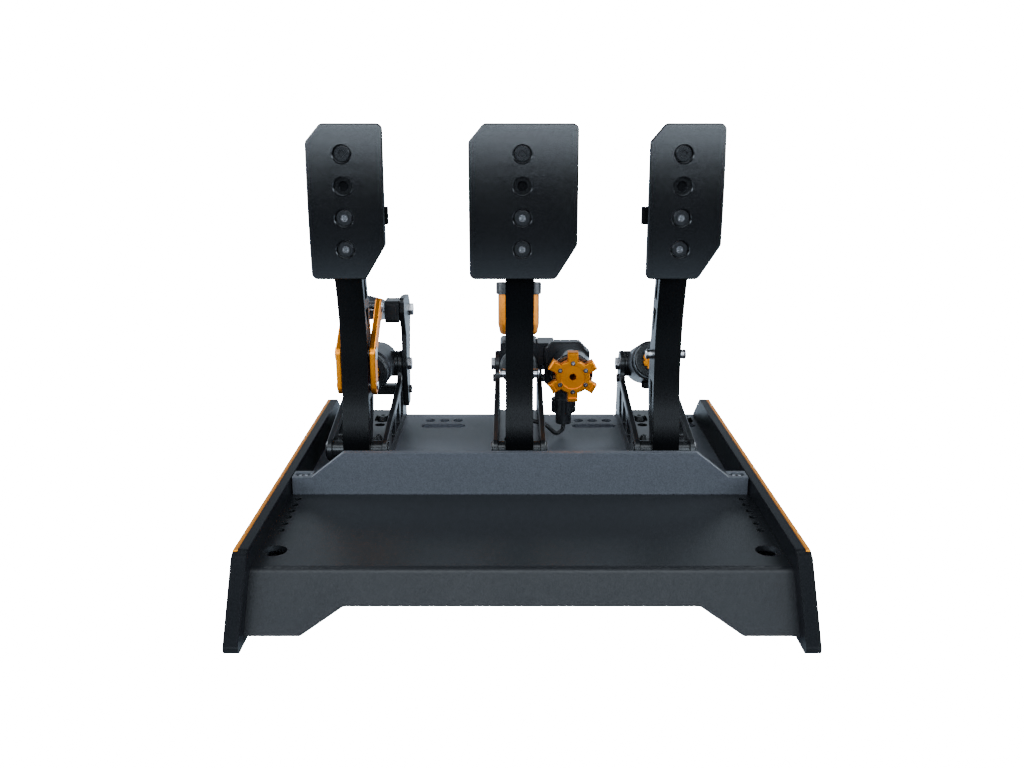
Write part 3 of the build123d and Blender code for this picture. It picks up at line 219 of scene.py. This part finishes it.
def new_group(name, inputs, outputs):
    """An empty shader node group with named sockets and its two end nodes."""
    group = bpy.data.node_groups.new(name, "ShaderNodeTree")
    for label, kind, default in inputs:
        socket = group.interface.new_socket(name=label, in_out="INPUT", socket_type=kind)
        socket.default_value = default
    for label, kind in outputs:
        group.interface.new_socket(name=label, in_out="OUTPUT", socket_type=kind)
    return group, group.nodes.new("NodeGroupInput"), group.nodes.new("NodeGroupOutput")


def coat_grain_group():
    """Fine sprayed or bead-blasted grain: a speckled colour, an uneven roughness and a normal."""
    group, given, result = new_group(
        "Coat grain",
        (
            ("Colour", "NodeSocketColor", (0.02, 0.02, 0.02, 1)),
            ("Grains", "NodeSocketFloat", 1400.0),
            ("Depth", "NodeSocketFloat", 0.2),
            ("Roughness", "NodeSocketFloat", 0.45),
            ("Unevenness", "NodeSocketFloat", 0.08),
        ),
        (("Colour", "NodeSocketColor"), ("Roughness", "NodeSocketFloat"), ("Normal", "NodeSocketVector")),
    )
    make, link = group.nodes.new, group.links.new
    place = make("ShaderNodeTexCoord")
    grain = make("ShaderNodeTexNoise")
    grain.inputs["Detail"].default_value = 3.0
    grain.inputs["Roughness"].default_value = 0.6
    link(place.outputs["Object"], grain.inputs["Vector"])
    link(given.outputs["Grains"], grain.inputs["Scale"])
    cloud = make("ShaderNodeTexNoise")
    cloud.inputs["Scale"].default_value = 22.0
    cloud.inputs["Detail"].default_value = 4.0
    link(place.outputs["Object"], cloud.inputs["Vector"])
    speckle = make("ShaderNodeMapRange")
    speckle.inputs["From Min"].default_value = 0.3
    speckle.inputs["From Max"].default_value = 0.7
    speckle.inputs["To Min"].default_value = 0.72
    speckle.inputs["To Max"].default_value = 1.35
    link(grain.outputs["Fac"], speckle.inputs["Value"])
    tint = make("ShaderNodeVectorMath")
    tint.operation = "SCALE"
    link(given.outputs["Colour"], tint.inputs[0])
    link(speckle.outputs["Result"], tint.inputs["Scale"])
    link(tint.outputs["Vector"], result.inputs["Colour"])
    sparkle = make("ShaderNodeMath")
    sparkle.operation = "MULTIPLY_ADD"
    sparkle.inputs[1].default_value = 1.6
    link(grain.outputs["Fac"], sparkle.inputs[0])
    link(cloud.outputs["Fac"], sparkle.inputs[2])
    centred = make("ShaderNodeMath")
    centred.operation = "SUBTRACT"
    centred.inputs[1].default_value = 1.3
    link(sparkle.outputs[0], centred.inputs[0])
    spread = make("ShaderNodeMath")
    spread.operation = "MULTIPLY_ADD"
    link(centred.outputs[0], spread.inputs[0])
    link(given.outputs["Unevenness"], spread.inputs[1])
    link(given.outputs["Roughness"], spread.inputs[2])
    link(spread.outputs[0], result.inputs["Roughness"])
    bump = make("ShaderNodeBump")
    bump.inputs["Distance"].default_value = 0.0003
    link(grain.outputs["Fac"], bump.inputs["Height"])
    link(given.outputs["Depth"], bump.inputs["Strength"])
    link(bump.outputs["Normal"], result.inputs["Normal"])


def turning_marks_group():
    """Fine lathe rings along one axis: an uneven roughness and a normal."""
    group, given, result = new_group(
        "Turning marks",
        (
            ("Direction", "NodeSocketVector", (0.0, 1.0, 0.0)),
            ("Rings", "NodeSocketFloat", 2400.0),
            ("Depth", "NodeSocketFloat", 0.1),
            ("Roughness", "NodeSocketFloat", 0.25),
        ),
        (("Roughness", "NodeSocketFloat"), ("Normal", "NodeSocketVector"), ("Mask", "NodeSocketFloat")),
    )
    make, link = group.nodes.new, group.links.new
    place = make("ShaderNodeTexCoord")
    along = make("ShaderNodeVectorMath")
    along.operation = "DOT_PRODUCT"
    link(place.outputs["Object"], along.inputs[0])
    link(given.outputs["Direction"], along.inputs[1])
    rings = make("ShaderNodeTexNoise")
    rings.noise_dimensions = "1D"
    rings.inputs["Detail"].default_value = 2.0
    link(along.outputs["Value"], rings.inputs["W"])
    link(given.outputs["Rings"], rings.inputs["Scale"])
    spread = make("ShaderNodeMath")
    spread.operation = "MULTIPLY_ADD"
    spread.inputs[1].default_value = 0.12
    link(rings.outputs["Fac"], spread.inputs[0])
    link(given.outputs["Roughness"], spread.inputs[2])
    link(spread.outputs[0], result.inputs["Roughness"])
    bump = make("ShaderNodeBump")
    bump.inputs["Distance"].default_value = 0.0001
    link(rings.outputs["Fac"], bump.inputs["Height"])
    link(given.outputs["Depth"], bump.inputs["Strength"])
    link(bump.outputs["Normal"], result.inputs["Normal"])
    link(rings.outputs["Fac"], result.inputs["Mask"])


def new_material(name):
    """A material with its Principled BSDF, ready for its nodes."""
    material = bpy.data.materials.new(name)
    material.use_nodes = True
    return material, material.node_tree, material.node_tree.nodes["Principled BSDF"]


def coated(name, colour, grains, depth, roughness, unevenness=0.08, metallic=0.0, specular=0.5):
    """A sprayed, blasted or anodised finish with fine grain."""
    material, tree, shader = new_material(name)
    grain = tree.nodes.new("ShaderNodeGroup")
    grain.node_tree = bpy.data.node_groups["Coat grain"]
    grain.inputs["Colour"].default_value = (*colour, 1)
    grain.inputs["Grains"].default_value = grains
    grain.inputs["Depth"].default_value = depth
    grain.inputs["Roughness"].default_value = roughness
    grain.inputs["Unevenness"].default_value = unevenness
    shader.inputs["Metallic"].default_value = metallic
    shader.inputs["Specular IOR Level"].default_value = specular
    tree.links.new(grain.outputs["Colour"], shader.inputs["Base Color"])
    tree.links.new(grain.outputs["Roughness"], shader.inputs["Roughness"])
    tree.links.new(grain.outputs["Normal"], shader.inputs["Normal"])
    finishes[name] = material


def turned(name, colour, direction, rings, depth, roughness, metallic=1.0):
    """Bare or anodised metal with fine lathe rings and a slight change of tone along them."""
    material, tree, shader = new_material(name)
    marks = tree.nodes.new("ShaderNodeGroup")
    marks.node_tree = bpy.data.node_groups["Turning marks"]
    marks.inputs["Direction"].default_value = direction
    marks.inputs["Rings"].default_value = rings
    marks.inputs["Depth"].default_value = depth
    marks.inputs["Roughness"].default_value = roughness
    tone = tree.nodes.new("ShaderNodeMix")
    tone.data_type = "RGBA"
    tone.inputs["A"].default_value = (*[0.82 * part for part in colour], 1)
    tone.inputs["B"].default_value = (*colour, 1)
    tree.links.new(marks.outputs["Mask"], tone.inputs["Factor"])
    tree.links.new(tone.outputs["Result"], shader.inputs["Base Color"])
    shader.inputs["Metallic"].default_value = metallic
    tree.links.new(marks.outputs["Roughness"], shader.inputs["Roughness"])
    tree.links.new(marks.outputs["Normal"], shader.inputs["Normal"])
    finishes[name] = material


def finish_of(node):
    """The finish of a CAD node: its slot's own, but for the cast reservoir."""
    return finishes["cast_gold" if node == "reservoir" else slot_of_node[node]]


class PEDALS_OT_finishes(bpy.types.Operator):
    """Builds every finish and puts one on each node of the pedal set"""

    bl_idname = "pedals.finishes"
    bl_label = "Finishes"

    def execute(self, context):
        given = settings(context)
        coat_grain_group()
        turning_marks_group()
        coat = tuple(given.coat)
        gold = tuple(given.gold)
        # Lit and shaded copies of the one coat: the deck's and the stop bar's larger shares are painted
        # light
        for name, (share, grains, depth, roughness, specular) in LIT_AND_SHADED_COATS.items():
            colour = tuple(share * part for part in coat)
            coated(name, colour, grains or given.grain_size, depth, roughness, specular=specular)
        for name, (colour, grains, depth, roughness) in SMALL_BLACKS.items():
            coated(name, colour, grains, depth, roughness)
        coated("barrel_grey", (0.024, 0.0255, 0.029), 2400.0, 0.1, 0.36, metallic=0.5, specular=0.3)
        coated("sleeve_gloss", (0.004, 0.0043, 0.005), 300.0, 0.02, 0.12, unevenness=0.03)
        coated("trim_gold", tuple(1.04 * part for part in gold), 2200.0, 0.12, 0.36, metallic=0.85)
        coated("cast_gold", tuple(0.6 * part for part in gold), 900.0, 0.7, 0.46, metallic=0.9)
        turned("gold", gold, (0.0, 1.0, 0.0), 1500.0, 0.08, 0.32, metallic=0.95)
        turned("steel", tuple(given.steel), (0.0, 0.96, -0.28), 2600.0, 0.08, 0.16)
        for name, obj in nodes.items():
            obj.data.materials.clear()
            obj.data.materials.append(finish_of(name))
        return {"FINISHED"}


# Geometry Nodes trees for what repeats

def new_tree(name, inputs):
    """An empty geometry tree with named inputs, a place, a turn and a finish."""
    tree = bpy.data.node_groups.new(name, "GeometryNodeTree")
    tree.interface.new_socket(name="Geometry", in_out="OUTPUT", socket_type="NodeSocketGeometry")
    for label, kind in (*inputs, ("Place", "NodeSocketVector"), ("Turn", "NodeSocketVector")):
        tree.interface.new_socket(name=label, in_out="INPUT", socket_type=kind)
    tree.interface.new_socket(name="Finish", in_out="INPUT", socket_type="NodeSocketMaterial")
    return tree, tree.nodes.new("NodeGroupInput")


def close_tree(tree, given, shape, turn=True):
    """Turns and places the shape, makes it real and gives it its finish."""
    make, link = tree.nodes.new, tree.links.new
    placed = make("GeometryNodeTransform")
    link(shape, placed.inputs["Geometry"])
    link(given.outputs["Place"], placed.inputs["Translation"])
    if turn:
        link(given.outputs["Turn"], placed.inputs["Rotation"])
    real = make("GeometryNodeRealizeInstances")
    link(placed.outputs["Geometry"], real.inputs["Geometry"])
    dressed = make("GeometryNodeSetMaterial")
    link(real.outputs["Geometry"], dressed.inputs["Geometry"])
    link(given.outputs["Finish"], dressed.inputs["Material"])
    link(dressed.outputs["Geometry"], make("NodeGroupOutput").inputs["Geometry"])


def socket_screw_tree():
    """A chamfered screw head with a sunk socket, set on each point of the mesh it is given."""
    tree, given = new_tree(
        "Socket screws",
        (
            ("Points", "NodeSocketGeometry"),
            ("Head radius", "NodeSocketFloat"),
            ("Head height", "NodeSocketFloat"),
            ("Socket share", "NodeSocketFloat"),
            ("Socket depth", "NodeSocketFloat"),
        ),
    )
    make, link = tree.nodes.new, tree.links.new
    head = make("GeometryNodeMeshCylinder")
    head.inputs["Vertices"].default_value = 24
    link(given.outputs["Head radius"], head.inputs["Radius"])
    link(given.outputs["Head height"], head.inputs["Depth"])
    sunk = make("ShaderNodeMath")
    sunk.operation = "MULTIPLY"
    sunk.inputs[1].default_value = -1.0
    link(given.outputs["Socket depth"], sunk.inputs[0])
    chamfer = make("ShaderNodeMath")
    chamfer.operation = "MULTIPLY"
    chamfer.inputs[1].default_value = 0.2
    link(given.outputs["Head height"], chamfer.inputs[0])
    mesh, top = head.outputs["Mesh"], head.outputs["Top"]
    for lift, narrowing in ((chamfer.outputs[0], 0.88), (None, None), (sunk.outputs[0], 0.85)):
        push = make("GeometryNodeExtrudeMesh")
        push.inputs["Offset Scale"].default_value = 0.0
        link(mesh, push.inputs["Mesh"])
        link(top, push.inputs["Selection"])
        if lift:
            link(lift, push.inputs["Offset Scale"])
        narrow = make("GeometryNodeScaleElements")
        narrow.inputs["Scale"].default_value = narrowing or 1.0
        link(push.outputs["Mesh"], narrow.inputs["Geometry"])
        link(push.outputs["Top"], narrow.inputs["Selection"])
        if narrowing is None:
            link(given.outputs["Socket share"], narrow.inputs["Scale"])
        mesh, top = narrow.outputs["Geometry"], push.outputs["Top"]
    turned_head = make("GeometryNodeTransform")
    link(mesh, turned_head.inputs["Geometry"])
    link(given.outputs["Turn"], turned_head.inputs["Rotation"])
    copies = make("GeometryNodeInstanceOnPoints")
    link(given.outputs["Points"], copies.inputs["Points"])
    link(turned_head.outputs["Geometry"], copies.inputs["Instance"])
    close_tree(tree, given, copies.outputs["Instances"], turn=False)


def clip_row_tree():
    """Round wire clips in a row along an axis, each with a small opening."""
    tree, given = new_tree(
        "Clip row",
        (
            ("Count", "NodeSocketInt"),
            ("Spacing", "NodeSocketFloat"),
            ("Clip radius", "NodeSocketFloat"),
            ("Wire radius", "NodeSocketFloat"),
            ("Opening", "NodeSocketFloat"),
        ),
    )
    make, link = tree.nodes.new, tree.links.new
    step = make("ShaderNodeCombineXYZ")
    link(given.outputs["Spacing"], step.inputs["Z"])
    row = make("GeometryNodeMeshLine")
    link(given.outputs["Count"], row.inputs["Count"])
    link(step.outputs["Vector"], row.inputs["Offset"])
    sweep = make("ShaderNodeMath")
    sweep.operation = "SUBTRACT"
    sweep.inputs[0].default_value = 2 * math.pi
    link(given.outputs["Opening"], sweep.inputs[1])
    arc = make("GeometryNodeCurveArc")
    arc.inputs["Resolution"].default_value = 40
    link(given.outputs["Clip radius"], arc.inputs["Radius"])
    link(given.outputs["Opening"], arc.inputs["Start Angle"])
    link(sweep.outputs[0], arc.inputs["Sweep Angle"])
    wire = make("GeometryNodeCurvePrimitiveCircle")
    wire.inputs["Resolution"].default_value = 10
    link(given.outputs["Wire radius"], wire.inputs["Radius"])
    bent = make("GeometryNodeCurveToMesh")
    bent.inputs["Fill Caps"].default_value = True
    link(arc.outputs["Curve"], bent.inputs["Curve"])
    link(wire.outputs["Curve"], bent.inputs["Profile Curve"])
    copies = make("GeometryNodeInstanceOnPoints")
    link(row.outputs["Mesh"], copies.inputs["Points"])
    link(bent.outputs["Mesh"], copies.inputs["Instance"])
    close_tree(tree, given, copies.outputs["Instances"])


def grip_rib_tree():
    """Straight grip ribs standing round an axis, each a round bar."""
    tree, given = new_tree(
        "Grip ribs",
        (
            ("Count", "NodeSocketInt"),
            ("Ring radius", "NodeSocketFloat"),
            ("Rib length", "NodeSocketFloat"),
            ("Rib radius", "NodeSocketFloat"),
        ),
    )
    make, link = tree.nodes.new, tree.links.new
    circle = make("GeometryNodeMeshCircle")
    link(given.outputs["Count"], circle.inputs["Vertices"])
    link(given.outputs["Ring radius"], circle.inputs["Radius"])
    rib = make("GeometryNodeMeshCylinder")
    rib.inputs["Vertices"].default_value = 10
    link(given.outputs["Rib radius"], rib.inputs["Radius"])
    link(given.outputs["Rib length"], rib.inputs["Depth"])
    copies = make("GeometryNodeInstanceOnPoints")
    link(circle.outputs["Mesh"], copies.inputs["Points"])
    link(rib.outputs["Mesh"], copies.inputs["Instance"])
    close_tree(tree, given, copies.outputs["Instances"])


def grown(name, tree, sizes, place, turn, finish, body, points=()):
    """A plain mesh grown by a tree with its inputs set, riding on a body."""
    seed = bpy.data.meshes.new(name)
    seed.from_pydata(points, [], [])
    piece = bpy.data.objects.new(name, seed)
    bpy.context.scene.collection.objects.link(piece)
    shape = piece.modifiers.new("Shape", "NODES")
    shape.node_group = bpy.data.node_groups[tree]
    values = {**sizes, "Place": place, "Turn": turn, "Finish": finishes[finish]}
    for socket in shape.node_group.interface.items_tree:
        if socket.item_type == "SOCKET" and socket.in_out == "INPUT" and socket.name in values:
            shape[socket.identifier] = values[socket.name]
    evaluated = piece.evaluated_get(bpy.context.evaluated_depsgraph_get())
    mesh = bpy.data.meshes.new_from_object(evaluated)
    piece.modifiers.clear()
    piece.data = mesh
    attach(piece, body)
    return piece


def middle(name):
    """The middle of a node's box at rest."""
    low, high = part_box(name)
    return [(a + b) / 2 for a, b in zip(low, high)]


# Pieces that stand for CAD nodes

def joined_copy(name):
    """A bmesh of a CAD node with its loose triangles merged into whole faces."""
    mesh = bmesh.new()
    mesh.from_mesh(nodes[name].data)
    bmesh.ops.remove_doubles(mesh, verts=mesh.verts, dist=SAME_POINT)
    bmesh.ops.dissolve_limit(
        mesh, angle_limit=FLAT_ANGLE, verts=mesh.verts, edges=mesh.edges, delimit={"NORMAL"}
    )
    return mesh


def put_in(mesh, name, finish, body):
    """A new object from a bmesh, with a finish, riding on a body."""
    data = bpy.data.meshes.new(name)
    mesh.to_mesh(data)
    mesh.free()
    data.materials.append(finish)
    piece = bpy.data.objects.new(name, data)
    bpy.context.scene.collection.objects.link(piece)
    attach(piece, body)
    return piece


def softened(name, width, segments=2, lean=None):
    """A copy of a node with small rounded edges, standing for it."""
    mesh = joined_copy(name)
    if lean:
        mesh.transform(lean)
    piece = put_in(mesh, f"soft_{name}", finish_of(name), body_of_node[name])
    for polygon in piece.data.polygons:
        polygon.use_smooth = True
    edge = piece.modifiers.new("Soft edges", "BEVEL")
    edge.width = width
    edge.segments = segments
    edge.limit_method = "ANGLE"
    edge.angle_limit = SMOOTH_ANGLE
    edge.miter_outer = "MITER_ARC"
    level = piece.modifiers.new("Level faces", "WEIGHTED_NORMAL")
    level.weight = 100
    level.keep_sharp = True
    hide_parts(name)


class PEDALS_OT_edges(bpy.types.Operator):
    """Gives plates, rails, arms and turned pieces the small edges that catch the light"""

    bl_idname = "pedals.edges"
    bl_label = "Soft edges"

    def execute(self, context):
        given = settings(context)
        for name in PLATES:
            softened(name, given.plate_edge)
        for pedal in PEDALS:
            softened(f"{pedal}_arm", given.arm_edge, segments=3)
            softened(f"{pedal}_base_plate", given.plate_edge)
            for side in ("left", "right"):
                softened(f"{pedal}_side_plate_{side}", given.small_edge)
            softened(f"{pedal}_rod", given.small_edge)
        for name in SMALL_PARTS:
            softened(name, given.small_edge)
        back = Matrix.Rotation(-given.pot_lean, 4, "X")
        lean = Matrix.Translation(POT_FOOT) @ back @ Matrix.Translation(-POT_FOOT - POT_SINK)
        for name in ("reservoir", "reservoir_cap"):
            softened(name, given.small_edge, lean=lean)
        return {"FINISHED"}


class PEDALS_OT_screws(bpy.types.Operator):
    """Sets socket screws in the face plates and round the preload knob"""

    bl_idname = "pedals.screws"
    bl_label = "Socket screws"

    def execute(self, context):
        given = settings(context)
        socket_screw_tree()
        self.face_screws(given)
        self.knob_screws(given)
        self.barrel_plug()
        return {"FINISHED"}

    def face_screws(self, given):
        """Dark button heads sunk in the face plates, the two lower ones with a bright socket."""
        head = {
            "Head radius": given.face_screw_head,
            "Head height": 0.0022,
            "Socket share": 0.5,
            "Socket depth": 0.0014,
        }
        lining = {
            "Head radius": 0.47 * given.face_screw_head,
            "Head height": 0.0005,
            "Socket share": 0.7,
            "Socket depth": 0.0004,
        }
        for pedal in PEDALS:
            low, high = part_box(f"{pedal}_face_screws")
            across = (low[0] + high[0]) / 2
            rows = []
            for height in FACE_SCREW_HEIGHTS:
                back = (height - FACE_CROWN_HEIGHT) ** 2 / (2 * FACE_CROWN_RADIUS)
                rows.append((across, low[1] + back, height))
            heads = grown(
                f"{pedal}_face_screw_heads", "Socket screws", head, (0.0, 0.0014, 0.0), FACING_DRIVER,
                "black_bolt", f"{pedal}_pedal", rows,
            )
            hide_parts(f"{pedal}_face_screws")
            grown(
                f"{pedal}_face_screw_sockets", "Socket screws", lining, (0.0, 0.0008, 0.0), FACING_DRIVER,
                "steel", f"{pedal}_pedal", rows[1:],
            )

    def knob_screws(self, given):
        """Small bright screws with dark rims in a ring on the knob's face."""
        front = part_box("preload_knob")[0][1]
        centre = middle("preload_knob")
        count = given.knob_screws
        rows = []
        for index in range(count):
            angle = KNOB_FIRST_SCREW + 2 * math.pi * index / count
            across = centre[0] + KNOB_SCREW_RING * math.cos(angle)
            rows.append((across, front, centre[2] + KNOB_SCREW_RING * math.sin(angle)))
        place = (0.0, 0.0002, 0.0)
        rims = {"Head radius": 0.0021, "Head height": 0.0004, "Socket share": 0.8, "Socket depth": 0.0002}
        grown(
            "knob_screw_rims", "Socket screws", rims, place, FACING_DRIVER,
            "black_bolt", "knob", rows,
        )
        heads = {"Head radius": 0.0014, "Head height": 0.0008, "Socket share": 0.55, "Socket depth": 0.0004}
        grown(
            "knob_screw_heads", "Socket screws", heads, place, FACING_DRIVER,
            "steel", "knob", rows,
        )

    def barrel_plug(self):
        """The black plug under the throttle barrel."""
        plug = {"Head radius": 0.0047, "Head height": 0.005, "Socket share": 0.4, "Socket depth": 0.0004}
        grown(
            "throttle_barrel_plug", "Socket screws", plug, (0.0, 0.0, 0.0), FACING_DOWN,
            "cap_black", body_of_node["throttle_barrel"], [THROTTLE_PLUG],
        )


class PEDALS_OT_clips(bpy.types.Operator):
    """Bends the round wire clips that hold the push-rod pins and the link pin"""

    bl_idname = "pedals.clips"
    bl_label = "Retaining clips"

    def execute(self, context):
        clip_row_tree()
        wire = settings(context).ring_wire
        for pedal in ("brake", "throttle"):
            low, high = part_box(f"{pedal}_rod_pin")
            centre = middle(f"{pedal}_rod_pin")
            pair = {
                "Count": 2,
                "Spacing": high[0] - low[0] - 2 * PIN_CLIP_INSET,
                "Clip radius": (high[2] - low[2]) / 2 + 0.3 * wire,
                "Wire radius": wire,
                "Opening": CLIP_OPENING,
            }
            grown(
                f"{pedal}_pin_clips", "Clip row", pair, (low[0] + PIN_CLIP_INSET, centre[1], centre[2]),
                FACING_RIGHT, "black_bolt", f"{pedal}_pedal",
            )
        clip = {
            "Count": 1,
            "Spacing": 0.001,
            "Clip radius": 0.0053,
            "Wire radius": 0.0006,
            "Opening": CLIP_OPENING,
        }
        grown(
            "link_pin_clip", "Clip row", clip, LINK_PIN_END, FACING_RIGHT,
            "steel", body_of_node["clutch_link_pins"],
        )
        return {"FINISHED"}


class PEDALS_OT_sensor_ribs(bpy.types.Operator):
    """Stands the grip ribs round the nut of the pressure sensor"""

    bl_idname = "pedals.sensor_ribs"
    bl_label = "Sensor ribs"

    def execute(self, context):
        grip_rib_tree()
        centre = middle("pressure_sensor")
        sizes = {
            "Count": settings(context).nut_ribs,
            "Ring radius": 0.0108,
            "Rib length": 0.0124,
            "Rib radius": 0.0006,
        }
        place = (centre[0], centre[1], SENSOR_NUT_HEIGHT)
        grown(
            "sensor_nut_ribs", "Grip ribs", sizes, place, UPRIGHT,
            "cap_black", "frame",
        )
        return {"FINISHED"}


class PEDALS_OT_studio(bpy.types.Operator):
    """Pale floor, soft studio lights and the camera"""

    bl_idname = "pedals.studio"
    bl_label = "Studio"

    def execute(self, context):
        given = settings(context)
        scene = context.scene
        self.room(scene, given)
        self.floor(scene)
        centre = (0.0, -0.05, 0.12)
        side = given.key_light
        self.strip(scene, "left_strip", (-1.0, 0.45, 0.7), centre, 0.3, 1.2, side)
        self.strip(scene, "right_strip", (1.0, 0.45, 0.7), centre, 0.3, 1.2, side)
        self.strip(scene, "front_box", (0.0, -0.85, 1.35), (0.0, -0.15, 0.1), 1.7, 0.5, given.box_light)
        self.camera(scene)
        return {"FINISHED"}

    def room(self, scene, given):
        """A room with a bright band in front, another behind, dark above, white to the camera."""
        world = bpy.data.worlds.new("Studio")
        world.use_nodes = True
        tree = world.node_tree
        make, link = tree.nodes.new, tree.links.new
        room = tree.nodes["Background"]
        room.inputs["Color"].default_value = ROOM_TINT
        place = make("ShaderNodeTexCoord")
        direction = make("ShaderNodeSeparateXYZ")
        link(place.outputs["Generated"], direction.inputs["Vector"])
        up = direction.outputs["Z"]
        front = make("ShaderNodeMath")
        front.operation = "MULTIPLY"
        link(self.ramp(tree, up, 0.1, 0.24, 0.01, given.front_light), front.inputs[0])
        link(self.ramp(tree, up, 0.34, 0.48, 1.0, 0.01), front.inputs[1])
        strength = make("ShaderNodeMix")
        link(self.ramp(tree, direction.outputs["Y"], -0.1, 0.3, 0.0, 1.0), strength.inputs["Factor"])
        link(front.outputs[0], strength.inputs["A"])
        link(self.ramp(tree, up, 0.32, 0.5, given.room_light, 0.05), strength.inputs["B"])
        link(strength.outputs["Result"], room.inputs["Strength"])
        backdrop = make("ShaderNodeBackground")
        backdrop.inputs["Strength"].default_value = WHITE_BACKDROP
        seen = make("ShaderNodeLightPath")
        choice = make("ShaderNodeMixShader")
        link(seen.outputs["Is Camera Ray"], choice.inputs["Fac"])
        link(room.outputs["Background"], choice.inputs[1])
        link(backdrop.outputs["Background"], choice.inputs[2])
        link(choice.outputs["Shader"], tree.nodes["World Output"].inputs["Surface"])
        scene.world = world

    def floor(self, scene):
        """A plain floor, pale round the set, with painted shade far in front of it that darkens what the
        pedals reflect, white to the camera.
        """
        half = FLOOR_HALF
        mesh = bpy.data.meshes.new("studio_floor")
        mesh.from_pydata(
            [(-half, -half, 0), (half, -half, 0), (half, half, 0), (-half, half, 0)], [], [(0, 1, 2, 3)]
        )
        floor = bpy.data.objects.new("studio_floor", mesh)
        scene.collection.objects.link(floor)
        material, tree, shader = new_material("pale_floor")
        make, link = tree.nodes.new, tree.links.new
        shader.inputs["Roughness"].default_value = 0.7
        shader.inputs["Specular IOR Level"].default_value = 0.1
        place = make("ShaderNodeTexCoord")
        across = make("ShaderNodeSeparateXYZ")
        link(place.outputs["Object"], across.inputs["Vector"])
        floor_shade_mix = make("ShaderNodeMix")
        floor_shade_mix.data_type = "RGBA"
        floor_shade_mix.inputs["A"].default_value = FLOOR_PAINTED_SHADE
        floor_shade_mix.inputs["B"].default_value = FLOOR_PALE
        # Painted shade: the floor turns dark far in front of the set
        link(self.ramp(tree, across.outputs["Y"], -0.8, -0.3, 0.0, 1.0), floor_shade_mix.inputs["Factor"])
        link(floor_shade_mix.outputs["Result"], shader.inputs["Base Color"])
        glow = make("ShaderNodeEmission")
        glow.inputs["Strength"].default_value = WHITE_FLOOR
        both = make("ShaderNodeAddShader")
        seen = make("ShaderNodeLightPath")
        choice = make("ShaderNodeMixShader")
        link(shader.outputs["BSDF"], both.inputs[0])
        link(glow.outputs["Emission"], both.inputs[1])
        link(seen.outputs["Is Camera Ray"], choice.inputs["Fac"])
        link(shader.outputs["BSDF"], choice.inputs[1])
        link(both.outputs["Shader"], choice.inputs[2])
        link(choice.outputs["Shader"], tree.nodes["Material Output"].inputs["Surface"])
        mesh.materials.append(material)

    def camera(self, scene):
        """The camera in front, a little above the pedals, looking slightly down."""
        data = bpy.data.cameras.new("front_camera")
        data.sensor_width = 36.0
        data.lens = 35.0
        data.clip_start = 0.01
        camera = bpy.data.objects.new("front_camera", data)
        scene.collection.objects.link(camera)
        camera.location = CAMERA_PLACE
        camera.rotation_euler = (CAMERA_TILT, 0.0, 0.0)
        scene.camera = camera

    def ramp(self, tree, value, low, high, start, end):
        """A smooth step of a value between two places or directions."""
        step = tree.nodes.new("ShaderNodeMapRange")
        step.interpolation_type = "SMOOTHSTEP"
        step.inputs["From Min"].default_value = low
        step.inputs["From Max"].default_value = high
        step.inputs["To Min"].default_value = start
        step.inputs["To Max"].default_value = end
        tree.links.new(value, step.inputs["Value"])
        return step.outputs["Result"]

    def strip(self, scene, name, place, target, width, height, power):
        """One soft rectangular light aimed at a point."""
        data = bpy.data.lights.new(name, "AREA")
        data.shape = "RECTANGLE"
        data.size = width
        data.size_y = height
        data.energy = power
        data.color = LAMP_TINT
        light = bpy.data.objects.new(name, data)
        light.location = place
        aim = Vector(target) - Vector(place)
        light.rotation_euler = aim.to_track_quat("-Z", "Y").to_euler()
        scene.collection.objects.link(light)


class PEDALS_PT_panel(bpy.types.Panel):
    """Lists the steps and their settings"""

    bl_label = "Pedal set"
    bl_idname = "PEDALS_PT_panel"
    bl_space_type = "VIEW_3D"
    bl_region_type = "UI"
    bl_category = "Pedal set"

    def draw(self, context):
        for name in PedalSetSettings.__annotations__:
            self.layout.prop(settings(context), name)
        for step in STEPS:
            self.layout.operator(step.bl_idname)


STEPS = (
    PEDALS_OT_finishes,
    PEDALS_OT_edges,
    PEDALS_OT_screws,
    PEDALS_OT_clips,
    PEDALS_OT_sensor_ribs,
    PEDALS_OT_studio,
)
CLASSES = (PedalSetSettings, *STEPS, PEDALS_PT_panel)


def register():
    """Registers the settings, the steps and the panel."""
    for item in CLASSES:
        bpy.utils.register_class(item)
    bpy.types.Scene.pedal_set = PointerProperty(type=PedalSetSettings)


def unregister():
    """Removes what register added."""
    del bpy.types.Scene.pedal_set
    for item in reversed(CLASSES):
        bpy.utils.unregister_class(item)


def main():
    """Runs every step."""
    register()
    bpy.ops.pedals.finishes()
    bpy.ops.pedals.edges()
    bpy.ops.pedals.screws()
    bpy.ops.pedals.clips()
    bpy.ops.pedals.sensor_ribs()
    bpy.ops.pedals.studio()
    bpy.context.view_layer.update()


if __name__ == "__main__":
    main()
